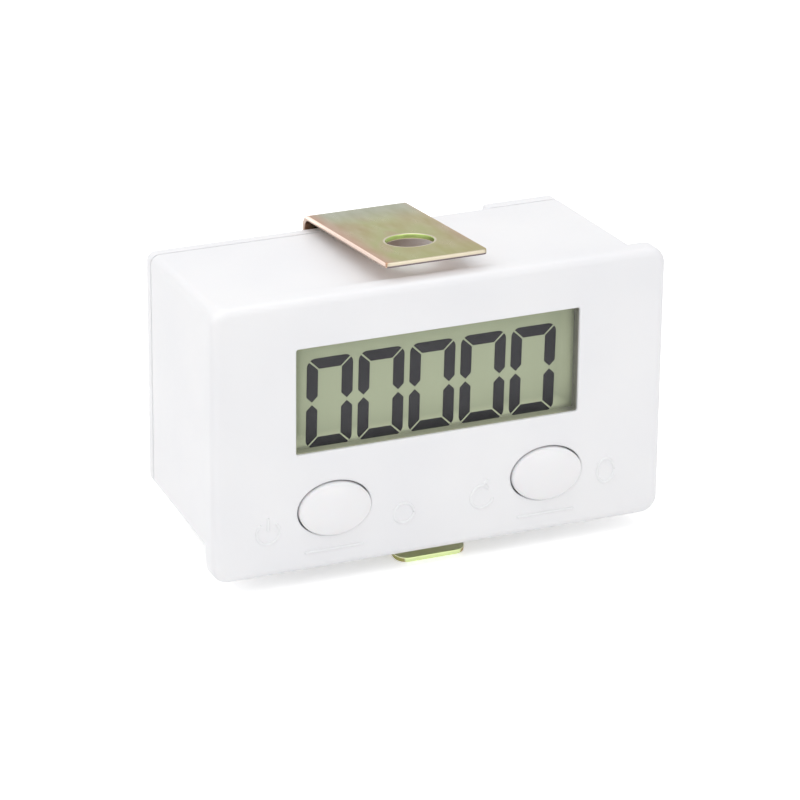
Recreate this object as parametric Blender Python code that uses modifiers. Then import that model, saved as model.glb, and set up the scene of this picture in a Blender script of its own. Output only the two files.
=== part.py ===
"""Electronic counter for a panel: five-digit display, two push buttons, U-shaped clamp bracket.

The counter faces -Y and stands upright, with +X to the right of someone who reads it. Sizes are in
metres. Pieces are placed in the panel's frame, whose origin is the centre of the flange's front face,
and one empty lifts that frame so that the part stands on z = 0 with its box centred on x and y.
"""

import math

import bmesh
import bpy
from mathutils import Matrix, Vector

# Clearances, and how far a cutter runs past what it cuts
SEAT_GAP = 0.0003
SLIDE_GAP = 0.0005
OVERRUN = 0.0010
WELD = 0.000001

# Housing shell, which is sized from what it holds
FLANGE_SIDE_RIM = 0.0015
FLANGE_TOP_RIM = 0.0014
FLANGE_DEPTH = 0.0028
FLANGE_CORNER = 0.0022
FLANGE_FILLET = 0.0010
BODY_CORNER = 0.0012
SIDE_DRAFT = 0.0005
TOP_DRAFT = 0.0009
FRONT_WALL = 0.0015
SIDE_WALL = 0.0020
TOP_WALL = 0.00185
COVER_THICKNESS = 0.0015
COVER_FILLET = 0.0003

# Window, lens and display
WINDOW_WIDTH = 0.0375
WINDOW_HEIGHT = 0.01375
WINDOW_SHIFT = -0.00015
WINDOW_RISE = 0.00085
LENS_RECESS = 0.0003
LENS_FLANGE = 0.0005
LENS_LAP = 0.0008
DISPLAY_SIDE_MARGIN = 0.00225
DISPLAY_TOP_MARGIN = 0.001525
DISPLAY_LEFT_GAP = 0.0036
DISPLAY_RIGHT_GAP = 0.0042
DISPLAY_TOP_GAP = 0.0004
GLASS_THICKNESS = 0.0010
CONTACT_LEDGE = 0.0020
HOLDER_WALL = 0.0008
HOLDER_DEPTH = 0.0054
ZEBRA_HEIGHT = 0.0014
ZEBRA_MARGIN = 0.0010

# Circuit board and what it carries
BOARD_THICKNESS = 0.0016
CHIP_RADIUS = 0.0045
CHIP_HEIGHT = 0.0015
CHIP_X = 0.0025
CHIP_Z = 0.0065
CRYSTAL_RADIUS = 0.00105
CRYSTAL_LENGTH = 0.0062
CRYSTAL_GAP = 0.0019
CRYSTAL_RISE = 0.0005
CAPACITOR_RADIUS = 0.0025
CAPACITOR_HEIGHT = 0.0054
CAPACITOR_X = 0.0115
CAPACITOR_Z = -0.0035
BOARD_BOSS_RADIUS = 0.0019
BOARD_SCREW_RADIUS = 0.0008
BOARD_SCREW_LENGTH = 0.0059
SMALL_HEAD_RADIUS = 0.0019
SMALL_HEAD_HEIGHT = 0.0013

# Push buttons and their switches
BUTTON_SIDE_GAP = 0.0055
BUTTON_FLOOR_GAP = 0.00035
BUTTON_DISPLAY_GAP = 0.00075
BUTTON_WIDTH = 0.0094
BUTTON_HEIGHT = 0.0069
BUTTON_RISE = 0.0012
BUTTON_EDGE_RISE = 0.0003
BUTTON_TRAVEL = 0.0007
EAR_THICKNESS = 0.0009
EAR_REACH = 0.0016
EAR_HEIGHT = 0.0044
STEM_RADIUS = 0.0014
SWITCH_SIZE = 0.0060
SWITCH_DEPTH = 0.0031
PLUNGER_RADIUS = 0.0017
PLUNGER_PROUD = 0.0009
PLUNGER_LENGTH = 0.0023

# Battery
CELL_RADIUS = 0.0058
CELL_LENGTH = 0.0108
TUBE_WALL = 0.0009
TUBE_SIDE_GAP = 0.0009
SPRING_HEIGHT = 0.0031
SPRING_WIRE_RADIUS = 0.00025
SPRING_LOW_RADIUS = 0.0040
SPRING_TOP_RADIUS = 0.0024
CONTACT_THICKNESS = 0.0003
CONTACT_WIDTH = 0.0026
CONTACT_LENGTH = 0.0098
CAP_THICKNESS = 0.0013
CAP_NECK_LENGTH = 0.0037
CAP_LAP = 0.0004
LUG_PROJECTION = 0.0013
LUG_WIDTH = 0.0036
LUG_THICKNESS = 0.0012
COIN_SLOT_LENGTH = 0.0110
COIN_SLOT_WIDTH = 0.0016
COIN_SLOT_DEPTH = 0.0007

# Rear cover, its screws and the clamp nut's boss
CORNER_BOSS_SIZE = 0.0040
COVER_SCREW_RADIUS = 0.0009
COVER_SCREW_LENGTH = 0.0085
LIP_THICKNESS = 0.0012
LIP_DEPTH = 0.0015
LIP_END_GAP = 0.0010
PRISE_NOTCH_GAP = 0.0008
PRISE_NOTCH_HEIGHT = 0.0011
NUT_BOSS_RADIUS = 0.0046
NUT_BOSS_DEPTH = 0.0061
NUT_ACROSS_FLATS = 0.0055
NUT_THICKNESS = 0.0024

# Clamp bracket and its screw
BRACKET_WIDTH = 0.0135
BRACKET_SHEET = 0.00065
BRACKET_BEND = 0.0015
ARM_CLEARANCE = 0.00125
ARM_OVERLAP = 0.00065
ARM_CORNER = 0.0007
TONGUE_WIDTH = 0.0094
TONGUE_LENGTH = 0.0220
TONGUE_CORNER = 0.0016
ARM_HOLE_RADIUS = 0.0030
ARM_HOLE_FROM_TIP = 0.00845
CLAMP_SCREW_RADIUS = 0.0015
CLAMP_SCREW_LENGTH = 0.0128
CLAMP_HEAD_RADIUS = 0.0028
CLAMP_HEAD_HEIGHT = 0.00235
CROSS_LENGTH = 0.0030
CROSS_WIDTH = 0.0007
CROSS_DEPTH = 0.0009

# Terminal block
BLOCK_REACH = 0.0083
BLOCK_DEPTH = 0.0016
BLOCK_LEFT_CORNER = 0.0005
BLOCK_BODY_DEPTH = 0.0088
TERMINAL_PITCH = 0.0064
TERMINAL_INSET = 0.0033
TERMINAL_HEAD_RADIUS = 0.0020
TERMINAL_HEAD_HEIGHT = 0.0016
TERMINAL_SCREW_RADIUS = 0.0012
TERMINAL_SCREW_LENGTH = 0.0045
TERMINAL_RECESS = 0.0003
POST_RADIUS = 0.0006

# Angles and counts
ARM_ANGLE = math.radians(5.7)
CAP_TWIST = math.radians(60)
TERMINAL_COUNT = 4
SPRING_TURNS = 3
SPRING_STEPS = 12
ROUND_STEPS = 24
SMALL_STEPS = 12
CORNER_STEPS = 5
FILLET_STEPS = 3
DOME_STEPS = 5

# Across the cavity stand the display's holder and its margins; up the cavity stand button and holder
DISPLAY_HALF_X = WINDOW_WIDTH / 2 + DISPLAY_SIDE_MARGIN
DISPLAY_HALF_Z = WINDOW_HEIGHT / 2 + DISPLAY_TOP_MARGIN
HOLDER_HALF_X = DISPLAY_HALF_X + SEAT_GAP + HOLDER_WALL
HOLDER_HALF_Z = DISPLAY_HALF_Z + SEAT_GAP + HOLDER_WALL
CAVITY_X = (DISPLAY_LEFT_GAP + DISPLAY_RIGHT_GAP) / 2 + HOLDER_HALF_X
CAVITY_Z = (BUTTON_FLOOR_GAP + BUTTON_HEIGHT + BUTTON_DISPLAY_GAP + DISPLAY_TOP_GAP) / 2 + HOLDER_HALF_Z
DISPLAY_X = (DISPLAY_LEFT_GAP - DISPLAY_RIGHT_GAP) / 2
DISPLAY_Z = CAVITY_Z - DISPLAY_TOP_GAP - HOLDER_HALF_Z
WINDOW_X = DISPLAY_X + WINDOW_SHIFT
WINDOW_Z = DISPLAY_Z + WINDOW_RISE
BUTTON_Z = -CAVITY_Z + BUTTON_FLOOR_GAP + BUTTON_HEIGHT / 2
BUTTON_EAR_X = BUTTON_WIDTH / 2 + EAR_REACH
BUTTON_X = CAVITY_X - BUTTON_SIDE_GAP - BUTTON_EAR_X
BOARD_SCREW_X = BUTTON_X - BUTTON_EAR_X - SLIDE_GAP - BOARD_BOSS_RADIUS
CRYSTAL_X = CHIP_X + CHIP_RADIUS + CRYSTAL_GAP + CRYSTAL_LENGTH / 2

# The shell's outside, the board and the corner bosses follow the cavity
BODY_HALF_X = CAVITY_X + SIDE_WALL + SIDE_DRAFT
BODY_HALF_Z = CAVITY_Z + TOP_WALL + TOP_DRAFT
FLANGE_HALF_X = BODY_HALF_X + FLANGE_SIDE_RIM
FLANGE_HALF_Z = BODY_HALF_Z + FLANGE_TOP_RIM
BOARD_HALF_WIDTH = CAVITY_X - SLIDE_GAP
BOARD_HALF_HEIGHT = CAVITY_Z - SLIDE_GAP
CORNER_BOSS_X = -CAVITY_X + CORNER_BOSS_SIZE
CORNER_BOSS_Z = CAVITY_Z - CORNER_BOSS_SIZE
COVER_SCREW_X = CORNER_BOSS_X - CORNER_BOSS_SIZE / 2
COVER_SCREW_Z = CORNER_BOSS_Z + CORNER_BOSS_SIZE / 2

# Stations along the depth, from the flange's front face
LENS_FLANGE_FRONT = FRONT_WALL + SEAT_GAP
DISPLAY_FRONT = LENS_FLANGE_FRONT + LENS_FLANGE + SEAT_GAP
HOLDER_BACK = DISPLAY_FRONT + HOLDER_DEPTH
BOARD_FRONT = HOLDER_BACK + SEAT_GAP
BOARD_BACK = BOARD_FRONT + BOARD_THICKNESS
ON_BOARD = BOARD_BACK + SEAT_GAP
CELL_FRONT = ON_BOARD + SPRING_HEIGHT + SEAT_GAP
CELL_BACK = CELL_FRONT + CELL_LENGTH
HOUSING_DEPTH = CELL_BACK + CAP_NECK_LENGTH
COVER_FRONT = HOUSING_DEPTH - COVER_THICKNESS
RIM_BACK = COVER_FRONT - SEAT_GAP
ON_COVER = HOUSING_DEPTH + SEAT_GAP
EAR_FRONT = FRONT_WALL + SEAT_GAP
EAR_BACK = EAR_FRONT + EAR_THICKNESS
SWITCH_BACK = BOARD_FRONT - SEAT_GAP
SWITCH_FRONT = SWITCH_BACK - SWITCH_DEPTH
PLUNGER_FRONT = SWITCH_FRONT - PLUNGER_PROUD
PLUNGER_BACK = PLUNGER_FRONT + PLUNGER_LENGTH
LUG_BACK = COVER_FRONT - SEAT_GAP
LUG_FRONT = LUG_BACK - LUG_THICKNESS
TUBE_BACK = LUG_FRONT - SEAT_GAP
CAP_BACK = ON_COVER + CAP_THICKNESS
NUT_BOSS_FRONT = COVER_FRONT - NUT_BOSS_DEPTH
NUT_FRONT = NUT_BOSS_FRONT + SEAT_GAP
NUT_BACK = NUT_FRONT + NUT_THICKNESS
BRACKET_BACK = ON_COVER + BRACKET_SHEET
CLAMP_HEAD_FRONT = BRACKET_BACK + SEAT_GAP
BLOCK_BACK = COVER_FRONT + BLOCK_DEPTH
BLOCK_BODY_FRONT = COVER_FRONT - BLOCK_BODY_DEPTH
TERMINAL_SEAT = BLOCK_BACK - TERMINAL_RECESS - TERMINAL_HEAD_HEIGHT

# Battery radii grow outwards from the cell
TUBE_BORE_RADIUS = CELL_RADIUS + CONTACT_THICKNESS + 2 * SEAT_GAP
CELL_X = -CAVITY_X + TUBE_SIDE_GAP + TUBE_WALL + TUBE_BORE_RADIUS
CAP_NECK_RADIUS = TUBE_BORE_RADIUS - 2 * SEAT_GAP
LUG_REACH = CAP_NECK_RADIUS + LUG_PROJECTION
CAP_RADIUS = LUG_REACH + SLIDE_GAP + CAP_LAP

# Bracket arms: each starts at the inner bend's corner and leans outwards to its tip
BEND_CORNER_Z = BODY_HALF_Z - TOP_DRAFT + ARM_CLEARANCE
ARM_TIP_Y = FLANGE_DEPTH - ARM_OVERLAP
ARM_SLICE = BRACKET_SHEET / math.cos(ARM_ANGLE)
ARM_TIP_Z = BEND_CORNER_Z + ARM_SLICE + (ON_COVER - ARM_TIP_Y) * math.tan(ARM_ANGLE)

# Terminal block, along the cavity's right side
BLOCK_LEFT = CAVITY_X - BLOCK_REACH
BLOCK_BODY_LEFT = BLOCK_LEFT + SEAT_GAP
BLOCK_BODY_RIGHT = CAVITY_X - SEAT_GAP
TERMINAL_X = BLOCK_LEFT + TERMINAL_INSET

# Where the panel's frame stands in the part's own frame
FRONT_MOST = -BUTTON_RISE
BACK_MOST = max(CLAMP_HEAD_FRONT + CLAMP_HEAD_HEIGHT, BLOCK_BACK, CAP_BACK)
PANEL_ORIGIN = Vector((0, -(FRONT_MOST + BACK_MOST) / 2, ARM_TIP_Z))

# Turns a shape built round +Z so that its top faces the front
TO_FRONT = Matrix.Rotation(math.radians(90), 4, "X")
# Carries an outline drawn as (depth, height) into the panel's frame, extruded along x
SIDE_VIEW = Matrix(((0, 0, 1, 0), (1, 0, 0, 0), (0, 1, 0, 0), (0, 0, 0, 1)))


def new_collection(name):
    """A collection linked to the scene."""
    collection = bpy.data.collections.new(name)
    bpy.context.scene.collection.children.link(collection)
    return collection


def material(name, colour, roughness, metallic=0.0):
    """A Principled material with one colour."""
    made = bpy.data.materials.new(name)
    made.use_nodes = True
    shader = made.node_tree.nodes["Principled BSDF"]
    shader.inputs["Base Color"].default_value = (*colour, 1.0)
    shader.inputs["Roughness"].default_value = roughness
    shader.inputs["Metallic"].default_value = metallic
    made.diffuse_color = (*colour, 1.0)
    return made


for old in list(bpy.data.objects):
    bpy.data.objects.remove(old, do_unlink=True)
PARTS = new_collection("electronic_counter")
CUTTERS = new_collection("cutters")
FRAME = bpy.data.objects.new("panel_frame", None)
FRAME.location = PANEL_ORIGIN
PARTS.objects.link(FRAME)

WHITE = material("white_housing", (0.86, 0.86, 0.87), 0.42)
CAP_WHITE = material("button_cap", (0.90, 0.89, 0.87), 0.35)
CLEAR = material("window_lens", (0.80, 0.84, 0.82), 0.08)
LCD = material("display_glass", (0.39, 0.43, 0.31), 0.30)
INNER_WHITE = material("inner_moulding", (0.80, 0.80, 0.78), 0.55)
ELASTOMER = material("zebra_elastomer", (0.08, 0.08, 0.09), 0.80)
BOARD_GREEN = material("circuit_board", (0.05, 0.22, 0.10), 0.45)
EPOXY = material("chip_epoxy", (0.02, 0.02, 0.02), 0.25)
CAN = material("metal_can", (0.62, 0.62, 0.60), 0.30, 1.0)
SLEEVE = material("capacitor_sleeve", (0.04, 0.05, 0.12), 0.40)
BLACK = material("switch_body", (0.05, 0.05, 0.05), 0.50)
PASSIVATED = material("yellow_passivated_steel", (0.60, 0.48, 0.24), 0.32, 1.0)
PLATED = material("plated_screw", (0.66, 0.65, 0.62), 0.30, 1.0)
NICKEL = material("nickel_contact", (0.70, 0.68, 0.64), 0.28, 1.0)
BRASS = material("brass_post", (0.70, 0.52, 0.26), 0.35, 1.0)


def add_object(name, mesh, at=(0, 0, 0), finish=None):
    """Puts a mesh into the panel's frame: a piece if it has a finish, otherwise a cutter."""
    made = bpy.data.objects.new(name, mesh)
    made.parent = FRAME
    made.location = at
    if finish is None:
        CUTTERS.objects.link(made)
        made.hide_render = True
        made.display_type = "WIRE"
    else:
        PARTS.objects.link(made)
        mesh.materials.append(finish)
        mesh.shade_smooth()
        mesh.set_sharp_from_angle(angle=math.radians(35))
    return made


def to_mesh(bm, name, matrix=None):
    """Turns a bmesh into mesh data, moved by the matrix if there is one."""
    if matrix is not None:
        bmesh.ops.transform(bm, matrix=matrix, verts=bm.verts)
    mesh = bpy.data.meshes.new(name)
    bm.to_mesh(mesh)
    bm.free()
    return mesh


def frozen(drawn, name, matrix):
    """The evaluated mesh of a helper object, welded and moved by the matrix; the helper is removed."""
    CUTTERS.objects.link(drawn)
    bpy.context.view_layer.update()
    graph = bpy.context.evaluated_depsgraph_get()
    mesh = bpy.data.meshes.new_from_object(drawn.evaluated_get(graph))
    bpy.data.objects.remove(drawn, do_unlink=True)
    bm = bmesh.new()
    bm.from_mesh(mesh)
    bpy.data.meshes.remove(mesh)
    bmesh.ops.remove_doubles(bm, verts=bm.verts, dist=WELD)
    return to_mesh(bm, name, matrix)


def block_mesh(name, low, high):
    """A box between two corners."""
    bm = bmesh.new()
    bmesh.ops.create_cube(bm, size=1)
    low, high = Vector(low), Vector(high)
    return to_mesh(bm, name, Matrix.Translation((low + high) / 2) @ Matrix.Diagonal((*(high - low), 1)))


def round_edges(bm, edges, radius, steps):
    """Rounds the chosen edges of a bmesh."""
    bmesh.ops.bevel(bm, geom=edges, offset=radius, offset_type="OFFSET", segments=steps, profile=0.5,
                    affect="EDGES", clamp_overlap=True)


def rounded_block_mesh(name, low, high, corners, draft=(0, 0, 0), front_fillet=0, back_fillet=0):
    """A box whose edges along the depth are rounded, with rounded front or back rims if they have a fillet.

    corners holds the radius of the left edges and of the right ones. draft says how far the left side, the
    right side, and the top and bottom come in at the back.
    """
    bm = bmesh.new()
    bmesh.ops.create_cube(bm, size=1)
    for vertex in bm.verts:
        right, back, top = (value > 0 for value in vertex.co)
        left_draft, right_draft, top_draft = draft if back else (0, 0, 0)
        vertex.co.x = high[0] - right_draft if right else low[0] + left_draft
        vertex.co.y = high[1] if back else low[1]
        vertex.co.z = high[2] - top_draft if top else low[2] + top_draft
    along = [edge for edge in bm.edges if abs(edge.verts[0].co.y - edge.verts[1].co.y) > WELD]
    middle = (low[0] + high[0]) / 2
    left_edges = [edge for edge in along if edge.verts[0].co.x < middle]
    right_edges = [edge for edge in along if edge.verts[0].co.x > middle]
    round_edges(bm, left_edges, corners[0], CORNER_STEPS)
    round_edges(bm, right_edges, corners[1], CORNER_STEPS)
    for level, fillet in ((low[1], front_fillet), (high[1], back_fillet)):
        if fillet > 0:
            rim = [edge for edge in bm.edges if all(abs(v.co.y - level) < WELD for v in edge.verts)]
            round_edges(bm, rim, fillet, FILLET_STEPS)
    return to_mesh(bm, name)


def rod_mesh(name, radius, front, back, steps=ROUND_STEPS, widen=1):
    """A cylinder along the depth; widen stretches it sideways into an oval."""
    bm = bmesh.new()
    bmesh.ops.create_cone(bm, cap_ends=True, segments=steps, radius1=radius, radius2=radius, depth=back - front)
    placed = Matrix.Translation((0, (front + back) / 2, 0)) @ Matrix.Diagonal((widen, 1, 1, 1)) @ TO_FRONT
    return to_mesh(bm, name, placed)


def turned_mesh(name, profile, steps=ROUND_STEPS, widen=1):
    """A profile of (radius, depth) turned about the depth axis, listed from its front to its back."""
    line = bpy.data.meshes.new(name)
    points = [(radius, 0, -depth) for radius, depth in profile]
    line.from_pydata(points, [(i, i + 1) for i in range(len(points) - 1)], [])
    lathe = bpy.data.objects.new(name, line)
    screw = lathe.modifiers.new("turn", "SCREW")
    screw.axis = "Z"
    screw.steps = steps
    screw.render_steps = steps
    screw.use_merge_vertices = True
    screw.merge_threshold = WELD
    return frozen(lathe, name, Matrix.Diagonal((widen, 1, 1, 1)) @ TO_FRONT)


def outline_mesh(name, points, half_thickness, matrix):
    """A flat outline, filled and extruded both ways, then carried by the matrix."""
    curve = bpy.data.curves.new(name, "CURVE")
    curve.dimensions = "2D"
    curve.fill_mode = "BOTH"
    curve.extrude = half_thickness
    spline = curve.splines.new("POLY")
    spline.points.add(len(points) - 1)
    for point, (x, y) in zip(spline.points, points):
        point.co = (x, y, 0, 1)
    spline.use_cyclic_u = True
    return frozen(bpy.data.objects.new(name, curve), name, matrix)


def combine(target, name, mesh, operation, at=(0, 0, 0)):
    """Joins a mesh to the target, cuts it from the target, or keeps what the two share."""
    change = target.modifiers.new(name, "BOOLEAN")
    change.operation = operation
    change.solver = "EXACT"
    change.object = add_object(name, mesh, at)


def cut_block(target, name, low, high):
    """Cuts a box out of the target."""
    combine(target, name, block_mesh(name, low, high), "DIFFERENCE")


def join_block(target, name, low, high):
    """Adds a box to the target."""
    combine(target, name, block_mesh(name, low, high), "UNION")


def cut_round(target, name, radius, depths, x, z, steps=ROUND_STEPS, widen=1):
    """Bores a hole between two depths."""
    combine(target, name, rod_mesh(name, radius, *depths, steps, widen), "DIFFERENCE", (x, 0, z))


def join_round(target, name, radius, depths, x, z, steps=ROUND_STEPS):
    """Adds a cylinder between two depths."""
    combine(target, name, rod_mesh(name, radius, *depths, steps), "UNION", (x, 0, z))


def body_half_size(depth):
    """Half width and half height of the shell's outside, which narrows from the flange to the back."""
    share = (depth - FLANGE_DEPTH) / (HOUSING_DEPTH - FLANGE_DEPTH)
    return BODY_HALF_X - SIDE_DRAFT * share, BODY_HALF_Z - TOP_DRAFT * share


def shell_mesh(name, front, back, back_fillet=0):
    """A length of the shell's outside between two depths, drawn in alike on all four sides."""
    wide, high = body_half_size(front)
    narrow, low = body_half_size(back)
    draft = (wide - narrow, wide - narrow, high - low)
    return rounded_block_mesh(name, (-wide, front, -high), (wide, back, high), (BODY_CORNER, BODY_CORNER), draft,
                              back_fillet=back_fillet)


def make_screw(name, x, z, seat, radius, length, head_radius, head_height, recess_depth=0):
    """A pan-head screw that points to the front, with a cross recess if it has a depth."""
    lip = head_height / 4
    head_back = seat + head_height
    profile = [(0, seat - length), (radius, seat - length), (radius, seat), (head_radius, seat),
               (head_radius, head_back - lip), (head_radius - lip, head_back), (0, head_back)]
    screw = add_object(name, turned_mesh(name, profile, SMALL_STEPS), (x, 0, z), PLATED)
    if recess_depth > 0:
        for label, half_x, half_z in (("across", CROSS_LENGTH / 2, CROSS_WIDTH / 2),
                                      ("upright", CROSS_WIDTH / 2, CROSS_LENGTH / 2)):
            cut_block(screw, f"{name}_{label}", (x - half_x, head_back - recess_depth, z - half_z),
                      (x + half_x, head_back + OVERRUN, z + half_z))


def make_front_housing():
    """The flange and the narrowing shell behind it, with the window, the button holes and the bosses."""
    flange = rounded_block_mesh("front_housing", (-FLANGE_HALF_X, 0, -FLANGE_HALF_Z),
                                (FLANGE_HALF_X, FLANGE_DEPTH, FLANGE_HALF_Z), (FLANGE_CORNER, FLANGE_CORNER),
                                front_fillet=FLANGE_FILLET)
    housing = add_object("front_housing", flange, finish=WHITE)
    combine(housing, "shell_outside", shell_mesh("shell_outside", FLANGE_DEPTH / 2, RIM_BACK), "UNION")
    cut_block(housing, "cavity", (-CAVITY_X, FRONT_WALL, -CAVITY_Z), (CAVITY_X, RIM_BACK + OVERRUN, CAVITY_Z))
    half_window, half_tall = WINDOW_WIDTH / 2, WINDOW_HEIGHT / 2
    cut_block(housing, "window", (WINDOW_X - half_window, -OVERRUN, WINDOW_Z - half_tall),
              (WINDOW_X + half_window, FRONT_WALL + OVERRUN, WINDOW_Z + half_tall))
    hole_height = BUTTON_HEIGHT + 2 * SEAT_GAP
    widen = (BUTTON_WIDTH + 2 * SEAT_GAP) / hole_height
    for name, side in (("power", -1), ("reset", 1)):
        cut_round(housing, f"{name}_button_hole", hole_height / 2, (-OVERRUN, FRONT_WALL + OVERRUN),
                  side * BUTTON_X, BUTTON_Z, widen=widen)
        # the board's bosses stand on the front wall, between the buttons
        x = side * BOARD_SCREW_X
        join_round(housing, f"{name}_side_boss", BOARD_BOSS_RADIUS, (FRONT_WALL / 2, BOARD_FRONT - SEAT_GAP),
                   x, BUTTON_Z, SMALL_STEPS)
        cut_round(housing, f"{name}_side_boss_hole", BOARD_SCREW_RADIUS + SEAT_GAP,
                  (ON_BOARD - BOARD_SCREW_LENGTH - SEAT_GAP, BOARD_FRONT), x, BUTTON_Z, SMALL_STEPS)
    outer_x = CAVITY_X + SIDE_WALL / 2
    outer_z = CAVITY_Z + TOP_WALL / 2
    for name, side in (("upper", 1), ("lower", -1)):
        z = sorted((side * CORNER_BOSS_Z, side * outer_z))
        join_block(housing, f"{name}_corner_boss", (-outer_x, ON_BOARD, z[0]), (CORNER_BOSS_X, RIM_BACK, z[1]))
        cut_round(housing, f"{name}_corner_boss_hole", COVER_SCREW_RADIUS + SEAT_GAP,
                  (ON_COVER - COVER_SCREW_LENGTH - SEAT_GAP, RIM_BACK + OVERRUN), COVER_SCREW_X,
                  side * COVER_SCREW_Z, SMALL_STEPS)


def make_window_lens():
    """A clear plate whose raised middle fills the window, with a flange behind the front wall."""
    half_width, half_height = WINDOW_WIDTH / 2 - SEAT_GAP, WINDOW_HEIGHT / 2 - SEAT_GAP
    middle = block_mesh("window_lens", (WINDOW_X - half_width, LENS_RECESS, WINDOW_Z - half_height),
                        (WINDOW_X + half_width, LENS_FLANGE_FRONT + LENS_FLANGE / 2, WINDOW_Z + half_height))
    lens = add_object("window_lens", middle, finish=CLEAR)
    wide, tall = WINDOW_WIDTH / 2 + LENS_LAP, WINDOW_HEIGHT / 2 + LENS_LAP
    join_block(lens, "lens_flange", (WINDOW_X - wide, LENS_FLANGE_FRONT, WINDOW_Z - tall),
               (WINDOW_X + wide, LENS_FLANGE_FRONT + LENS_FLANGE, WINDOW_Z + tall))


def make_display():
    """The display's two bonded glasses, their holder, and the strips that join the display to the board."""
    half_width, half_height = DISPLAY_HALF_X, DISPLAY_HALF_Z
    seam = DISPLAY_FRONT + GLASS_THICKNESS
    front = block_mesh("lcd_panel", (DISPLAY_X - half_width, DISPLAY_FRONT, DISPLAY_Z - half_height),
                       (DISPLAY_X + half_width, seam, DISPLAY_Z + half_height))
    panel = add_object("lcd_panel", front, finish=LCD)
    # the rear glass is shorter, so that the front glass keeps a contact ledge above and below
    ledge = half_height - CONTACT_LEDGE
    join_block(panel, "rear_glass", (DISPLAY_X - half_width, seam - GLASS_THICKNESS / 2, DISPLAY_Z - ledge),
               (DISPLAY_X + half_width, seam + GLASS_THICKNESS, DISPLAY_Z + ledge))
    inner_x, inner_z = half_width + SEAT_GAP, half_height + SEAT_GAP
    ring = block_mesh("lcd_holder", (DISPLAY_X - HOLDER_HALF_X, DISPLAY_FRONT, DISPLAY_Z - HOLDER_HALF_Z),
                      (DISPLAY_X + HOLDER_HALF_X, HOLDER_BACK, DISPLAY_Z + HOLDER_HALF_Z))
    holder = add_object("lcd_holder", ring, finish=INNER_WHITE)
    cut_block(holder, "holder_opening", (DISPLAY_X - inner_x, DISPLAY_FRONT - OVERRUN, DISPLAY_Z - inner_z),
              (DISPLAY_X + inner_x, HOLDER_BACK + OVERRUN, DISPLAY_Z + inner_z))
    reach = half_width - ZEBRA_MARGIN
    for name, side in (("zebra_strip_upper", 1), ("zebra_strip_lower", -1)):
        near = ledge + SEAT_GAP
        z = sorted((DISPLAY_Z + side * near, DISPLAY_Z + side * (near + ZEBRA_HEIGHT)))
        strip = block_mesh(name, (DISPLAY_X - reach, seam + SEAT_GAP, z[0]),
                           (DISPLAY_X + reach, HOLDER_BACK, z[1]))
        add_object(name, strip, finish=ELASTOMER)


def make_circuit_board():
    """The board, notched to pass the corner bosses, its screws, and what is soldered to its back."""
    mesh = block_mesh("circuit_board", (-BOARD_HALF_WIDTH, BOARD_FRONT, -BOARD_HALF_HEIGHT),
                      (BOARD_HALF_WIDTH, BOARD_BACK, BOARD_HALF_HEIGHT))
    board = add_object("circuit_board", mesh, finish=BOARD_GREEN)
    for name, side in (("upper", 1), ("lower", -1)):
        z = sorted((side * (CORNER_BOSS_Z - SEAT_GAP), side * (BOARD_HALF_HEIGHT + OVERRUN)))
        cut_block(board, f"{name}_notch", (-BOARD_HALF_WIDTH - OVERRUN, BOARD_FRONT - OVERRUN, z[0]),
                  (CORNER_BOSS_X + SEAT_GAP, BOARD_BACK + OVERRUN, z[1]))
    for name, side in (("left", -1), ("right", 1)):
        x = side * BOARD_SCREW_X
        cut_round(board, f"{name}_board_hole", BOARD_SCREW_RADIUS + SEAT_GAP,
                  (BOARD_FRONT - OVERRUN, BOARD_BACK + OVERRUN), x, BUTTON_Z, SMALL_STEPS)
        make_screw(f"board_screw_{name}", x, BUTTON_Z, ON_BOARD, BOARD_SCREW_RADIUS, BOARD_SCREW_LENGTH,
                   SMALL_HEAD_RADIUS, SMALL_HEAD_HEIGHT)
    blob = [(0, ON_BOARD)]
    for step in range(DOME_STEPS + 1):
        angle = math.pi / 2 * step / DOME_STEPS
        blob.append((CHIP_RADIUS * math.cos(angle), ON_BOARD + CHIP_HEIGHT * math.sin(angle)))
    add_object("controller_chip", turned_mesh("controller_chip", blob, SMALL_STEPS), (CHIP_X, 0, CHIP_Z), EPOXY)
    can = rod_mesh("crystal", CRYSTAL_RADIUS, -CRYSTAL_LENGTH / 2, CRYSTAL_LENGTH / 2, SMALL_STEPS)
    can.transform(Matrix.Rotation(math.radians(90), 4, "Z"))
    add_object("crystal", can, (CRYSTAL_X, ON_BOARD + CRYSTAL_RADIUS, CHIP_Z + CRYSTAL_RISE), CAN)
    sleeve = rod_mesh("capacitor", CAPACITOR_RADIUS, ON_BOARD, ON_BOARD + CAPACITOR_HEIGHT, SMALL_STEPS)
    add_object("capacitor", sleeve, (CAPACITOR_X, 0, CAPACITOR_Z), SLEEVE)


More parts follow.
